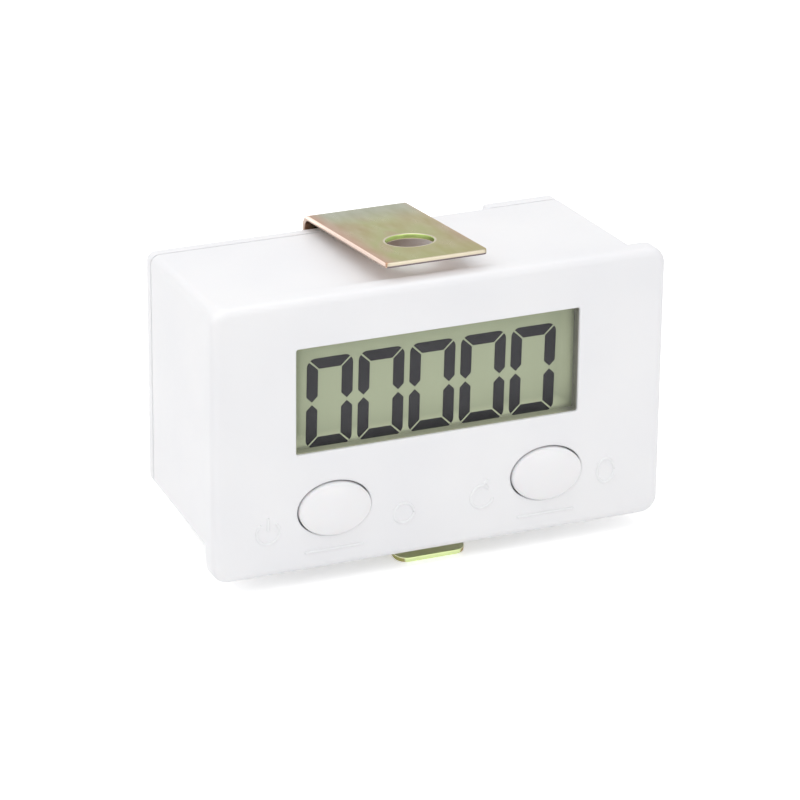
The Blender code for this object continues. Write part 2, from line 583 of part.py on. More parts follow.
def make_buttons():
    """The domed oval caps with their ears and stems, and the switches and plungers behind them."""
    widen = BUTTON_WIDTH / BUTTON_HEIGHT
    dome = BUTTON_RISE - BUTTON_EDGE_RISE
    profile = []
    for step in range(DOME_STEPS + 1):
        angle = math.pi / 2 * step / DOME_STEPS
        profile.append((BUTTON_HEIGHT / 2 * math.sin(angle), -BUTTON_EDGE_RISE - dome * math.cos(angle)))
    profile += [(BUTTON_HEIGHT / 2, EAR_BACK), (0, EAR_BACK)]
    half = SWITCH_SIZE / 2
    for name, side in (("power", -1), ("reset", 1)):
        x = side * BUTTON_X
        cap = add_object(f"{name}_button", turned_mesh(f"{name}_button", profile, widen=widen),
                         (x, 0, BUTTON_Z), CAP_WHITE)
        join_block(cap, f"{name}_ears", (x - BUTTON_EAR_X, EAR_FRONT, BUTTON_Z - EAR_HEIGHT / 2),
                   (x + BUTTON_EAR_X, EAR_BACK, BUTTON_Z + EAR_HEIGHT / 2))
        join_round(cap, f"{name}_stem", STEM_RADIUS, (EAR_FRONT, PLUNGER_FRONT - SEAT_GAP), x, BUTTON_Z,
                   SMALL_STEPS)
        body = block_mesh(f"{name}_switch", (x - half, SWITCH_FRONT, BUTTON_Z - half),
                          (x + half, SWITCH_BACK, BUTTON_Z + half))
        switch = add_object(f"{name}_switch", body, finish=BLACK)
        cut_round(switch, f"{name}_switch_bore", PLUNGER_RADIUS + SEAT_GAP,
                  (SWITCH_FRONT - OVERRUN, PLUNGER_BACK + BUTTON_TRAVEL + SEAT_GAP), x, BUTTON_Z, SMALL_STEPS)
        plunger = rod_mesh(f"{name}_plunger", PLUNGER_RADIUS, PLUNGER_FRONT, PLUNGER_BACK, SMALL_STEPS)
        add_object(f"{name}_plunger", plunger, (x, 0, BUTTON_Z), BLACK)


def spring_mesh(name):
    """A conical coil: its radius shrinks and its depth grows evenly from the board to the cell."""
    curve = bpy.data.curves.new(name, "CURVE")
    curve.dimensions = "3D"
    curve.bevel_depth = SPRING_WIRE_RADIUS
    curve.bevel_resolution = 1
    curve.use_fill_caps = True
    spline = curve.splines.new("POLY")
    spline.points.add(SPRING_TURNS * SPRING_STEPS)
    low = ON_BOARD + SPRING_WIRE_RADIUS
    high = CELL_FRONT - SEAT_GAP - SPRING_WIRE_RADIUS
    for index, point in enumerate(spline.points):
        share = index / (SPRING_TURNS * SPRING_STEPS)
        angle = 2 * math.pi * SPRING_TURNS * share
        radius = SPRING_LOW_RADIUS + (SPRING_TOP_RADIUS - SPRING_LOW_RADIUS) * share
        point.co = (radius * math.cos(angle), low + (high - low) * share, radius * math.sin(angle), 1)
    return frozen(bpy.data.objects.new(name, curve), name, Matrix.Identity(4))


def make_battery():
    """The lithium cell in its tube, the coil under it, the side contact and the cap that twists off."""
    at = (CELL_X, 0, 0)
    add_object("battery_cell", rod_mesh("battery_cell", CELL_RADIUS, CELL_FRONT, CELL_BACK), at, NICKEL)
    tube_radius = TUBE_BORE_RADIUS + TUBE_WALL
    tube = add_object("battery_tube", rod_mesh("battery_tube", tube_radius, ON_BOARD, TUBE_BACK), at, INNER_WHITE)
    cut_round(tube, "tube_bore", TUBE_BORE_RADIUS, (ON_BOARD - OVERRUN, TUBE_BACK + OVERRUN), CELL_X, 0)
    add_object("battery_spring", spring_mesh("battery_spring"), at, NICKEL)
    near = CELL_X + CELL_RADIUS + SEAT_GAP
    strip = block_mesh("battery_side_contact", (near, ON_BOARD, -CONTACT_WIDTH / 2),
                       (near + CONTACT_THICKNESS, ON_BOARD + CONTACT_LENGTH, CONTACT_WIDTH / 2))
    add_object("battery_side_contact", strip, finish=NICKEL)
    neck_front = ON_COVER - CAP_NECK_LENGTH
    profile = [(0, neck_front), (CAP_NECK_RADIUS, neck_front), (CAP_NECK_RADIUS, ON_COVER),
               (CAP_RADIUS, ON_COVER), (CAP_RADIUS, CAP_BACK), (0, CAP_BACK)]
    cap = add_object("battery_cap", turned_mesh("battery_cap", profile), at, WHITE)
    join_block(cap, "cap_lugs", (CELL_X - LUG_WIDTH / 2, LUG_FRONT, -LUG_REACH),
               (CELL_X + LUG_WIDTH / 2, LUG_BACK, LUG_REACH))
    cut_block(cap, "coin_slot",
              (CELL_X - COIN_SLOT_LENGTH / 2, CAP_BACK - COIN_SLOT_DEPTH, -COIN_SLOT_WIDTH / 2),
              (CELL_X + COIN_SLOT_LENGTH / 2, CAP_BACK + OVERRUN, COIN_SLOT_WIDTH / 2))


def make_rear_cover():
    """The plate that closes the shell: two locating lips, the clamp nut's boss and the battery opening."""
    through = (COVER_FRONT - OVERRUN, HOUSING_DEPTH + OVERRUN)
    plate = shell_mesh("rear_cover", COVER_FRONT, HOUSING_DEPTH, COVER_FILLET)
    cover = add_object("rear_cover", plate, finish=WHITE)
    cut_block(cover, "block_place", (BLOCK_LEFT - SEAT_GAP, through[0], -FLANGE_HALF_Z),
              (FLANGE_HALF_X, through[1], FLANGE_HALF_Z))
    # a blade reaches the plate's edge through a notch between the bracket and the terminal block
    notch_floor = body_half_size(HOUSING_DEPTH)[1] - PRISE_NOTCH_HEIGHT
    cut_block(cover, "prise_notch", (BRACKET_WIDTH / 2 + PRISE_NOTCH_GAP, through[0], notch_floor),
              (BLOCK_LEFT, through[1], FLANGE_HALF_Z))
    for name, side in (("upper", 1), ("lower", -1)):
        lip = CAVITY_Z - SEAT_GAP
        z = sorted((side * lip, side * (lip - LIP_THICKNESS)))
        join_block(cover, f"{name}_lip", (CORNER_BOSS_X + LIP_END_GAP, COVER_FRONT - LIP_DEPTH, z[0]),
                   (BLOCK_LEFT - LIP_END_GAP, COVER_FRONT + COVER_THICKNESS / 2, z[1]))
        screw_z = side * COVER_SCREW_Z
        cut_round(cover, f"{name}_cover_hole", COVER_SCREW_RADIUS + SEAT_GAP, through, COVER_SCREW_X, screw_z,
                  SMALL_STEPS)
        make_screw(f"cover_screw_{name}", COVER_SCREW_X, screw_z, ON_COVER, COVER_SCREW_RADIUS,
                   COVER_SCREW_LENGTH, SMALL_HEAD_RADIUS, SMALL_HEAD_HEIGHT, SMALL_HEAD_HEIGHT / 2)
    join_round(cover, "nut_boss", NUT_BOSS_RADIUS, (NUT_BOSS_FRONT, COVER_FRONT + COVER_THICKNESS / 2), 0, 0)
    pocket_radius = (NUT_ACROSS_FLATS / 2 + SEAT_GAP) / math.cos(math.pi / 6)
    cut_round(cover, "nut_pocket", pocket_radius, (NUT_BOSS_FRONT - OVERRUN, NUT_BACK + SEAT_GAP), 0, 0, 6)
    cut_round(cover, "clamp_hole", CLAMP_SCREW_RADIUS + SEAT_GAP, (NUT_BOSS_FRONT, through[1]), 0, 0,
              SMALL_STEPS)
    cut_round(cover, "cap_hole", CAP_NECK_RADIUS + SEAT_GAP, through, CELL_X, 0)
    # the cap's lugs pass the cover only after the whole twist
    half_width, reach = LUG_WIDTH / 2 + SLIDE_GAP, LUG_REACH + SLIDE_GAP
    notches = block_mesh("cap_notches", (-half_width, through[0], -reach), (half_width, through[1], reach))
    notches.transform(Matrix.Rotation(CAP_TWIST, 4, "Y"))
    combine(cover, "cap_notches", notches, "DIFFERENCE", (CELL_X, 0, 0))


def make_terminal_block():
    """The block that fills the shell's right end, its screws in side slots, and the posts to the board."""
    wide, high = body_half_size(COVER_FRONT)
    narrow, low = body_half_size(BLOCK_BACK)
    outside = rounded_block_mesh("terminal_block", (BLOCK_LEFT, COVER_FRONT, -high), (wide, BLOCK_BACK, high),
                                 (BLOCK_LEFT_CORNER, BODY_CORNER), (0, wide - narrow, high - low),
                                 back_fillet=BLOCK_LEFT_CORNER / 2)
    block = add_object("terminal_block", outside, finish=WHITE)
    body_z = CAVITY_Z - SEAT_GAP
    join_block(block, "block_body", (BLOCK_BODY_LEFT, BLOCK_BODY_FRONT, -body_z),
               (BLOCK_BODY_RIGHT, COVER_FRONT + BLOCK_DEPTH / 2, body_z))
    well_radius = TERMINAL_HEAD_RADIUS + SEAT_GAP
    floor = TERMINAL_SEAT - SEAT_GAP
    for index in range(TERMINAL_COUNT):
        number = index + 1
        z = ((TERMINAL_COUNT - 1) / 2 - index) * TERMINAL_PITCH
        cut_round(block, f"well_{number}", well_radius, (floor, BLOCK_BACK + OVERRUN), TERMINAL_X, z,
                  SMALL_STEPS)
        cut_block(block, f"side_slot_{number}", (TERMINAL_X, floor, z - TERMINAL_HEAD_RADIUS),
                  (wide + OVERRUN, BLOCK_BACK + OVERRUN, z + TERMINAL_HEAD_RADIUS))
        cut_round(block, f"thread_{number}", TERMINAL_SCREW_RADIUS + SEAT_GAP,
                  (TERMINAL_SEAT - TERMINAL_SCREW_LENGTH - SEAT_GAP, BLOCK_BACK), TERMINAL_X, z, SMALL_STEPS)
        make_screw(f"terminal_screw_{number}", TERMINAL_X, z, TERMINAL_SEAT, TERMINAL_SCREW_RADIUS,
                   TERMINAL_SCREW_LENGTH, TERMINAL_HEAD_RADIUS, TERMINAL_HEAD_HEIGHT, CROSS_DEPTH)
        post = rod_mesh(f"terminal_post_{number}", POST_RADIUS, ON_BOARD, BLOCK_BODY_FRONT - SEAT_GAP,
                        SMALL_STEPS)
        add_object(f"terminal_post_{number}", post, (TERMINAL_X, 0, z), BRASS)


def bracket_side_view():
    """The bracket seen from the side: along its inner face from tip to tip, and back along its outer face."""
    squeeze = math.tan((math.pi / 2 - ARM_ANGLE) / 2)
    centre_y, centre_z = ON_COVER - BRACKET_BEND, BEND_CORNER_Z - BRACKET_BEND * squeeze
    faces = []
    for radius, tip_z in ((BRACKET_BEND, ARM_TIP_Z - ARM_SLICE), (BRACKET_BEND + BRACKET_SHEET, ARM_TIP_Z)):
        upper = [(ARM_TIP_Y, tip_z)]
        for step in range(CORNER_STEPS + 1):
            angle = (math.pi / 2 - ARM_ANGLE) * (1 - step / CORNER_STEPS)
            upper.append((centre_y + radius * math.cos(angle), centre_z + radius * math.sin(angle)))
        faces.append(upper + [(y, -z) for y, z in reversed(upper)])
    return faces[0] + faces[1][::-1]


def bracket_plan():
    """The bracket seen from above: its full width, with the two front corners rounded."""
    half_width = BRACKET_WIDTH / 2
    points = [(half_width, BRACKET_BACK + OVERRUN), (-half_width, BRACKET_BACK + OVERRUN)]
    for side, start in ((-1, math.pi), (1, math.pi * 3 / 2)):
        for step in range(CORNER_STEPS + 1):
            angle = start + math.pi / 2 * step / CORNER_STEPS
            points.append((side * (half_width - ARM_CORNER) + ARM_CORNER * math.cos(angle),
                           ARM_TIP_Y + ARM_CORNER + ARM_CORNER * math.sin(angle)))
    return points


def beside_tongue(side):
    """Seen from above, what leaves the lower arm on one side, so that a tongue with round corners stays."""
    half_tongue, outside = TONGUE_WIDTH / 2, BRACKET_WIDTH / 2 + OVERRUN
    shoulder, before_tip = ARM_TIP_Y + TONGUE_LENGTH, ARM_TIP_Y - OVERRUN
    points = [(side * (half_tongue - TONGUE_CORNER), before_tip), (side * outside, before_tip),
              (side * outside, shoulder), (side * half_tongue, shoulder)]
    for step in range(CORNER_STEPS + 1):
        angle = math.pi / 2 * step / CORNER_STEPS
        points.append((side * (half_tongue - TONGUE_CORNER + TONGUE_CORNER * math.cos(angle)),
                       ARM_TIP_Y + TONGUE_CORNER - TONGUE_CORNER * math.sin(angle)))
    return points


def make_bracket():
    """The U of sheet steel with a round hole in each arm, and the screw and nut that pull it."""
    folded = outline_mesh("mounting_bracket", bracket_side_view(), BRACKET_WIDTH / 2 + OVERRUN, SIDE_VIEW)
    bracket = add_object("mounting_bracket", folded, finish=PASSIVATED)
    reach = ARM_TIP_Z + OVERRUN
    plan = outline_mesh("bracket_plan", bracket_plan(), reach, Matrix.Identity(4))
    combine(bracket, "bracket_plan", plan, "INTERSECT")
    lower_half = Matrix.Translation((0, 0, -reach / 2))
    for name, side in (("left", -1), ("right", 1)):
        strip = outline_mesh(f"{name}_of_tongue", beside_tongue(side), reach / 2, lower_half)
        combine(bracket, f"{name}_of_tongue", strip, "DIFFERENCE")
    drill = rod_mesh("arm_holes", ARM_HOLE_RADIUS, -reach, reach)
    drill.transform(TO_FRONT)
    combine(bracket, "arm_holes", drill, "DIFFERENCE", (0, ARM_TIP_Y + ARM_HOLE_FROM_TIP, 0))
    cut_round(bracket, "bracket_screw_hole", CLAMP_SCREW_RADIUS + SEAT_GAP,
              (ON_COVER - OVERRUN, BRACKET_BACK + OVERRUN), 0, 0, SMALL_STEPS)
    make_screw("clamp_screw", 0, 0, CLAMP_HEAD_FRONT, CLAMP_SCREW_RADIUS, CLAMP_SCREW_LENGTH,
               CLAMP_HEAD_RADIUS, CLAMP_HEAD_HEIGHT, CROSS_DEPTH)
    nut_radius = NUT_ACROSS_FLATS / 2 / math.cos(math.pi / 6)
    nut = add_object("clamp_nut", rod_mesh("clamp_nut", nut_radius, NUT_FRONT, NUT_BACK, 6), finish=PLATED)
    cut_round(nut, "nut_thread", CLAMP_SCREW_RADIUS + SEAT_GAP, (NUT_FRONT - OVERRUN, NUT_BACK + OVERRUN), 0, 0,
              SMALL_STEPS)


make_front_housing()
make_window_lens()
make_display()
make_circuit_board()
make_buttons()
make_battery()
make_rear_cover()
make_terminal_block()
make_bracket()
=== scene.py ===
# %% [markdown]
# # An electronic counter, dressed for its portrait
# The real object is a small counter that clips into a panel: a white moulded shell with a wide front
# flange, a grey-green liquid crystal display behind a clear window, two push buttons, and a strap of
# yellow-passivated steel that clamps it from behind. The CAD model already says where every piece is
# and how it moves. This lesson dresses it: finer surfaces where the eye goes, and a finish for each piece.

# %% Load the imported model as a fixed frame
import math

import bmesh
import bpy
import numpy as np
from mathutils import Matrix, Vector
from mathutils.geometry import delaunay_2d_cdt


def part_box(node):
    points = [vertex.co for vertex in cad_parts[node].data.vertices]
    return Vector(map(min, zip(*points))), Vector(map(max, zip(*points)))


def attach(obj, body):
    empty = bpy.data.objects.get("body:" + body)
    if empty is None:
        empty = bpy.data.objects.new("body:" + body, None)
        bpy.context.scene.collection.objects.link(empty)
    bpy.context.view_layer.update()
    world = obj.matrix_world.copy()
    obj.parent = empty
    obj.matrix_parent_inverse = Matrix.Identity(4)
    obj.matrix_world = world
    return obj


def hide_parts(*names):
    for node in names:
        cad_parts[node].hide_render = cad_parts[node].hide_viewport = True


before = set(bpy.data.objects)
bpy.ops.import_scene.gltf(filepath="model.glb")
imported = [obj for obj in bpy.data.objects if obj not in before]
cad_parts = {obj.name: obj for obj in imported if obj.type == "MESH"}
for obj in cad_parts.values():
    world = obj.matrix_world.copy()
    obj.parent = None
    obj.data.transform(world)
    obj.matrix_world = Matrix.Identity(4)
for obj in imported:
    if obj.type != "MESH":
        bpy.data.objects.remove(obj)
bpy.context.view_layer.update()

# %% [markdown]
# ## The panel's frame
# A maker measures such a counter from the front of its flange, its one wide flat face. So every number
# below is in millimetres from the middle of that face: x to the right, y to the back, z up. The origin
# is read from the CAD shell, and one function carries points into the frame.

# %% Millimetres from the flange's front face
shell_low, shell_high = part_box("front_housing")
ORIGIN = np.array([(shell_low.x + shell_high.x) / 2, shell_low.y, (shell_low.z + shell_high.z) / 2])


def to_frame(points):
    """Millimetres in the panel's frame to metres in the CAD's: p / 1000 + origin."""
    return np.asarray(points, float) / 1000 + ORIGIN


print("flange centre at", ORIGIN.round(5), "m")

# %% [markdown]
# ## Outlines
# Moulded and turned pieces are stacks of outlines: closed rows of (x, z) points, each at its own depth.
# They could be drawn by hand, but formulas keep every corner radius honest. All outlines run
# counter-clockwise, so the inside is always on the left, and one rule can shrink any of them.


# %% Rectangles, ovals and a shrinking rule
def rectangle(low, high, radii, steps=9):
    """A rectangle with quarter-circle corners: corner centre + radius * (cos a, sin a), a over 90 degrees."""
    radii = np.broadcast_to(np.asarray(radii, float), 4)
    quarter = np.linspace(0, np.pi / 2, steps + 1)
    angle = quarter[None, :] + np.arange(4)[:, None] * np.pi / 2
    side = np.array([(1, 1), (-1, 1), (-1, -1), (1, -1)])
    corner = np.where(side > 0, np.asarray(high, float), np.asarray(low, float))
    middle = corner - side * radii[:, None]
    turn = np.stack([np.cos(angle), np.sin(angle)], axis=2) * radii[:, None, None]
    return (middle[:, None, :] + turn).reshape(-1, 2)


def oval(half_x, half_z, centre=(0, 0), steps=96):
    """An ellipse: centre + (half_x * cos a, half_z * sin a) for a over the full turn."""
    angle = np.arange(steps) * 2 * np.pi / steps
    return np.stack([half_x * np.cos(angle), half_z * np.sin(angle)], axis=1) + np.asarray(centre, float)


def shrink(outline, distance):
    """Moves each point inwards along the bisector of its two edges, so that each edge moves by distance."""
    def left_of(edge):
        return np.stack([-edge[:, 1], edge[:, 0]], axis=1) / np.linalg.norm(edge, axis=1, keepdims=True)
    before = left_of(outline - np.roll(outline, 1, axis=0))
    after = left_of(np.roll(outline, -1, axis=0) - outline)
    return outline + distance * (before + after) / (1 + (before * after).sum(axis=1, keepdims=True))


print("a rounded square:", len(rectangle((-1, -1), (1, 1), 0.2)), "points")


# %% [markdown]
# ## Skins, plates and rounded rims
# A skin joins neighbouring rings of a stack with four-sided faces. A plate fills a flat outline and
# leaves its holes open. A rim is a quarter round between a flat face and a side. Moulded plastic always
# has such a rim, and the thin line of light along it is what makes an edge look real. Each rim starts
# with one extra ring on the flat face, which keeps the shading of the flat part flat.


# %% Surfaces from stacks of outlines
def skin(rings, closed=True):
    """Joins rings[k][i], rings[k][i+1], rings[k+1][i+1], rings[k+1][i] into quads. Closed rings go round."""
    index = np.arange(rings.shape[0] * rings.shape[1]).reshape(rings.shape[:2])
    index, after = (index, np.roll(index, -1, axis=1)) if closed else (index[:, :-1], index[:, 1:])
    quads = np.stack([index[:-1], after[:-1], after[1:], index[1:]], axis=-1).reshape(-1, 4)
    return rings.reshape(-1, 3), quads


def stack(rows):
    """Rows of (outline, depth) become rings of points (x, depth, z), and the rings a skin."""
    return skin(np.stack([np.insert(outline, 1, depth, axis=1) for outline, depth in rows]))


def tube(outline, front, back):
    """The side of one outline between two depths."""
    return stack([(outline, front), (outline, back)])


def plate(depth, outline, holes=()):
    """A flat face at one depth, cut into triangles inside its outline and outside its holes."""
    loops = [outline, *holes]
    starts = np.cumsum([0] + [len(loop) for loop in loops])
    faces = [list(range(start, end)) for start, end in zip(starts, starts[1:])]
    found = delaunay_2d_cdt(np.concatenate(loops).tolist(), [], faces, 2, 1e-7)
    return np.insert(np.array(found[0], float), 1, depth, axis=1), np.array(found[2], int)


def rim(outline, face, towards, radius, steps=6, hole=False):
    """A quarter round from a flat face to a side: the outline is shrunk by radius * (1 - sin t) at the
    depth face + towards * radius * (1 - cos t). Round a hole the outline grows instead."""
    t = np.linspace(0, np.pi / 2, steps + 1)
    insets = np.concatenate([[radius + 0.12], radius * (1 - np.sin(t))]) * (-1 if hole else 1)
    depths = np.concatenate([[face], face + towards * radius * (1 - np.cos(t))])
    return [(shrink(outline, inset), depth) for inset, depth in zip(insets, depths)]


def capped(rows, front_holes=(), back_holes=()):
    """A stack whose first and last outline are closed by plates, but for their holes."""
    (front, front_depth), (back, back_depth) = rows[0], rows[-1]
    return [stack(rows), plate(front_depth, front, front_holes), plate(back_depth, back, back_holes)]


def solid(outline, front, back, front_rim=0.1, back_rim=0.1):
    """A closed block between two depths, with a rim at either end."""
    return capped(rim(outline, front, 1, front_rim, 4) + rim(outline, back, -1, back_rim, 4)[::-1])


print("a disc with a hole:", len(plate(0.0, oval(5, 5), [oval(2, 2)])[1]), "triangles")

# %% [markdown]
# ## From surfaces to a piece
# The surfaces of one piece share the points along their borders, so merging the doubles closes the
# piece. Then all faces are turned outwards. Edges sharper than 30 degrees stay sharp in the shading.


# %% Make a piece, and say whether it is closed
def into_scene(name, data):
    """A new object with that mesh, lamp or camera, linked to the scene."""
    made = bpy.data.objects.new(name, data)
    bpy.context.scene.collection.objects.link(made)
    return made


def make_piece(name, surfaces, body, finish, stands_for=()):
    """Joins surfaces, each points and faces, into one mesh in the frame, and lets it ride on a body."""
    starts = np.cumsum([0] + [len(points) for points, faces in surfaces])
    corners = [row for (points, faces), start in zip(surfaces, starts) for row in (faces + start).tolist()]
    mesh = bpy.data.meshes.new(name)
    mesh.from_pydata(to_frame(np.concatenate([points for points, faces in surfaces])).tolist(), [], corners)
    bm = bmesh.new()
    bm.from_mesh(mesh)
    bmesh.ops.remove_doubles(bm, verts=bm.verts, dist=1e-6)
    bmesh.ops.recalc_face_normals(bm, faces=bm.faces)
    open_edges = sum(not edge.is_manifold for edge in bm.edges)
    bm.to_mesh(mesh)
    bm.free()
    mesh.shade_smooth()
    mesh.set_sharp_from_angle(angle=math.radians(30))
    mesh.materials.append(finish)
    piece = into_scene(name, mesh)
    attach(piece, body)
    if stands_for:
        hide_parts(*stands_for)
    print(f"{name}: {len(mesh.polygons)} faces, {open_edges} open edges")


# %% [markdown]
# ## How a finish is built
# Any moulded, plated or printed surface has three layers: a colour that wanders a little, a gloss that
# is not even, and a fine relief. Patterns are read on Object coordinates, in metres, so a scale of 1000
# makes grains about a millimetre wide. What is the same all over, such as how metallic a surface is, is
# set straight on the shader.


# %% Layers for any finish
def new_finish(name, **sockets):
    """A Principled material with its uniform sockets set, and a node with the Object coordinates."""
    made = bpy.data.materials.new(name)
    made.use_nodes = True
    shader = made.node_tree.nodes["Principled BSDF"]
    for socket, value in sockets.items():
        shader.inputs[socket.replace("_", " ")].default_value = value
    made.node_tree.nodes.new("ShaderNodeTexCoord").name = "place"
    return made


def add(owner, kind, inputs, **settings):
    """A new node for a finish or the world. Each input, by name or number, takes a value or an output."""
    node = owner.node_tree.nodes.new("ShaderNode" + kind)
    for name, setting in settings.items():
        setattr(node, name, setting)
    for socket, value in inputs.items():
        if isinstance(value, bpy.types.NodeSocket):
            owner.node_tree.links.new(value, node.inputs[socket])
        else:
            node.inputs[socket].default_value = value
    return node


def feed(owner, socket, value, shader="Principled BSDF"):
    """Links a value to a socket of the shader."""
    owner.node_tree.links.new(value, owner.node_tree.nodes[shader].inputs[socket])


def spread(owner, value, start, end, low=0.0, high=1.0, curve="LINEAR"):
    """Carries a value from the range start to end over to low to high, and holds it at both ends."""
    span = {"Value": value, "From Min": start, "From Max": end, "To Min": low, "To Max": high}
    return add(owner, "MapRange", span, interpolation_type=curve).outputs["Result"]


def place_of(finish):
    """The Object coordinates, which every pattern of a finish reads."""
    return finish.node_tree.nodes["place"].outputs["Object"]


# %% Patterns: noise, a fade along one axis, and two values joined
def grain(finish, scale, detail=2.0, stretch=(1, 1, 1)):
    """Noise between 0 and 1, with grains 1 / scale metres wide, drawn out by stretch."""
    mapping = add(finish, "Mapping", {"Vector": place_of(finish), "Scale": stretch})
    noise = {"Vector": mapping.outputs["Vector"], "Scale": scale, "Detail": detail}
    return add(finish, "TexNoise", noise).outputs["Fac"]


def fade(finish, axis, start, end):
    """0 up to start and 1 from end, smoothly between: millimetres along one axis of the panel's frame."""
    low, high = to_frame([[start] * 3, [end] * 3])[:, "XYZ".index(axis)]
    split = add(finish, "SeparateXYZ", {"Vector": place_of(finish)})
    return spread(finish, split.outputs[axis], low, high, curve="SMOOTHSTEP")


def joined(owner, operation, first, second):
    """Two values joined by a Math node and kept between 0 and 1."""
    return add(owner, "Math", {0: first, 1: second}, operation=operation, use_clamp=True).outputs["Value"]


# %% What a pattern drives: colour, gloss or relief
def colour_from(finish, value, stops):
    """Looks a value up in a row of colours: stops are (position, (red, green, blue))."""
    ramp = add(finish, "ValToRGB", {"Fac": value})
    for position, colour in stops[2:]:
        ramp.color_ramp.elements.new(position)
    for element, (position, colour) in zip(ramp.color_ramp.elements, sorted(stops)):
        element.position, element.color = position, (*colour, 1)
    feed(finish, "Base Color", ramp.outputs["Color"])


def tint_from(finish, share, colour):
    """Lays one more colour over the base colour, wherever the share is 1."""
    base = finish.node_tree.nodes["Principled BSDF"].inputs["Base Color"].links[0].from_socket
    mix = add(finish, "Mix", {0: share, 6: base, 7: (*colour, 1)}, data_type="RGBA")
    feed(finish, "Base Color", mix.outputs[2])


def gloss_from(finish, value, low, high):
    """Spreads a pattern over a range of roughness. Noise seldom leaves 0.3 to 0.7, so that is its range."""
    feed(finish, "Roughness", spread(finish, value, 0.3, 0.7, low, high))


def relief_from(finish, value, height, strength=1.0):
    """Raises a pattern by a height in metres, as bump."""
    bump = add(finish, "Bump", {"Height": value, "Distance": height, "Strength": strength})
    feed(finish, "Normal", bump.outputs["Normal"])


# %% [markdown]
# ## White mouldings
# The shell and its cover are satin white ABS. The tool is lightly spark-eroded, which leaves a grain of
# about a fifth of a millimetre. The colour is almost even, a cold white that drifts over some
# centimetres. The buttons come from a polished tool, so they are smoother and a touch paler.

# %% Satin white for the shell, smoother white for the buttons
SHELL_WHITE = new_finish("satin_white_moulding", IOR=1.5, Subsurface_Weight=0.08, Subsurface_Scale=0.0008,
                         Subsurface_Radius=(1.0, 0.85, 0.78))
colour_from(SHELL_WHITE, grain(SHELL_WHITE, 70, 1.0),
            [(0.35, (0.83, 0.83, 0.85)), (0.7, (0.86, 0.858, 0.87))])
gloss_from(SHELL_WHITE, grain(SHELL_WHITE, 900), 0.36, 0.46)
relief_from(SHELL_WHITE, grain(SHELL_WHITE, 5200, 3.0), 0.000004, 0.6)

BUTTON_WHITE = new_finish("polished_white_moulding", IOR=1.5, Subsurface_Weight=0.08, Subsurface_Scale=0.0008)
colour_from(BUTTON_WHITE, grain(BUTTON_WHITE, 160, 1.0),
            [(0.3, (0.845, 0.84, 0.855)), (0.7, (0.87, 0.863, 0.875))])
gloss_from(BUTTON_WHITE, grain(BUTTON_WHITE, 300), 0.22, 0.27)
relief_from(BUTTON_WHITE, grain(BUTTON_WHITE, 260, 1.0), 0.000001, 0.3)
print("white finishes:", SHELL_WHITE.name, BUTTON_WHITE.name)

# %% [markdown]
# ## The front shell
# One moulding holds everything: a front flange with a generous rounded edge, and behind it a body that
# narrows a little towards the back, so that it leaves its tool. The window and the button holes have
# small rims. It could be carved with booleans, but a stack of outlines gives cleaner rims: flange,
# body, back edge and cavity are one skin, and two plates with holes are the faces of the front wall.


# %% Measures of the shell, and its outside at any depth
WINDOW = rectangle((-19.2, -2.225), (18.3, 11.525), 0.3, 4)
BUTTON_PLACES = {"power": (-14.2, -9.9), "reset": (14.2, -9.9)}
BUTTON_HOLE, BUTTON_CAP = (4.85, 3.6), (4.68, 3.43)
CAVITY = rectangle((-26.0, -13.7), (26.0, 13.7), 0.4, 9)
WALL_BACK, FLANGE_BACK, SHELL_BACK, LID_FRONT, COVER_BACK = 1.5, 2.8, 26.3, 26.6, 28.1


def half_size(depth):
    """Half width and half height of the body, which shrink evenly from the flange to the back."""
    share = (depth - FLANGE_BACK) / (COVER_BACK - FLANGE_BACK)
    return np.array([28.5 - 0.5 * share, 16.45 - 0.9 * share])


def body_outline(depth):
    """The body's outside at a depth, with 1.2 mm corners."""
    return rectangle(-half_size(depth), half_size(depth), 1.2)


print("body half size at the flange and at the back:", half_size(FLANGE_BACK), half_size(COVER_BACK))

# %% The shell's skin, its window and its button holes
flange = rectangle((-30.0, -17.85), (30.0, 17.85), 2.2)
rows = rim(flange, 0.0, 1, 1.0, 10) + rim(flange, FLANGE_BACK, -1, 0.2, 4)[::-1]
rows += [(body_outline(d), d) for d in (FLANGE_BACK, FLANGE_BACK + 0.15, SHELL_BACK - 0.2)]
rows += rim(body_outline(SHELL_BACK), SHELL_BACK, -1, 0.12, 3)[::-1]
rows += [(shrink(CAVITY, -0.12), SHELL_BACK), (CAVITY, SHELL_BACK), (CAVITY, SHELL_BACK - 0.2),
         (CAVITY, WALL_BACK)]
holes = [WINDOW] + [oval(*BUTTON_HOLE, at) for at in BUTTON_PLACES.values()]
edges = [rim(hole, 0.0, 1, 0.18, 5, hole=True) + [(hole, WALL_BACK)] for hole in holes]
surfaces = [stack(rows), *(stack(edge) for edge in edges), plate(WALL_BACK, CAVITY, holes),
            plate(0.0, rows[0][0], [edge[0][0] for edge in edges])]
print("the shell's skin:", len(rows), "outlines of", len(flange), "points")

# %% [markdown]
# Inside, two round bosses carry the circuit board and two corner bosses take the cover's screws. They
# are closed blocks with a blind hole, sunk a little into the wall that carries them.


# %% Bosses inside the shell
def boss(outline, front, back, centre, bore, bore_front):
    """A block whose back face has a blind round hole of that bore."""
    hole = oval(bore, bore, centre, 24)
    return capped([(outline, front), (outline, back)], back_holes=[hole]) + [
        tube(hole, back, bore_front), plate(bore_front, hole)]


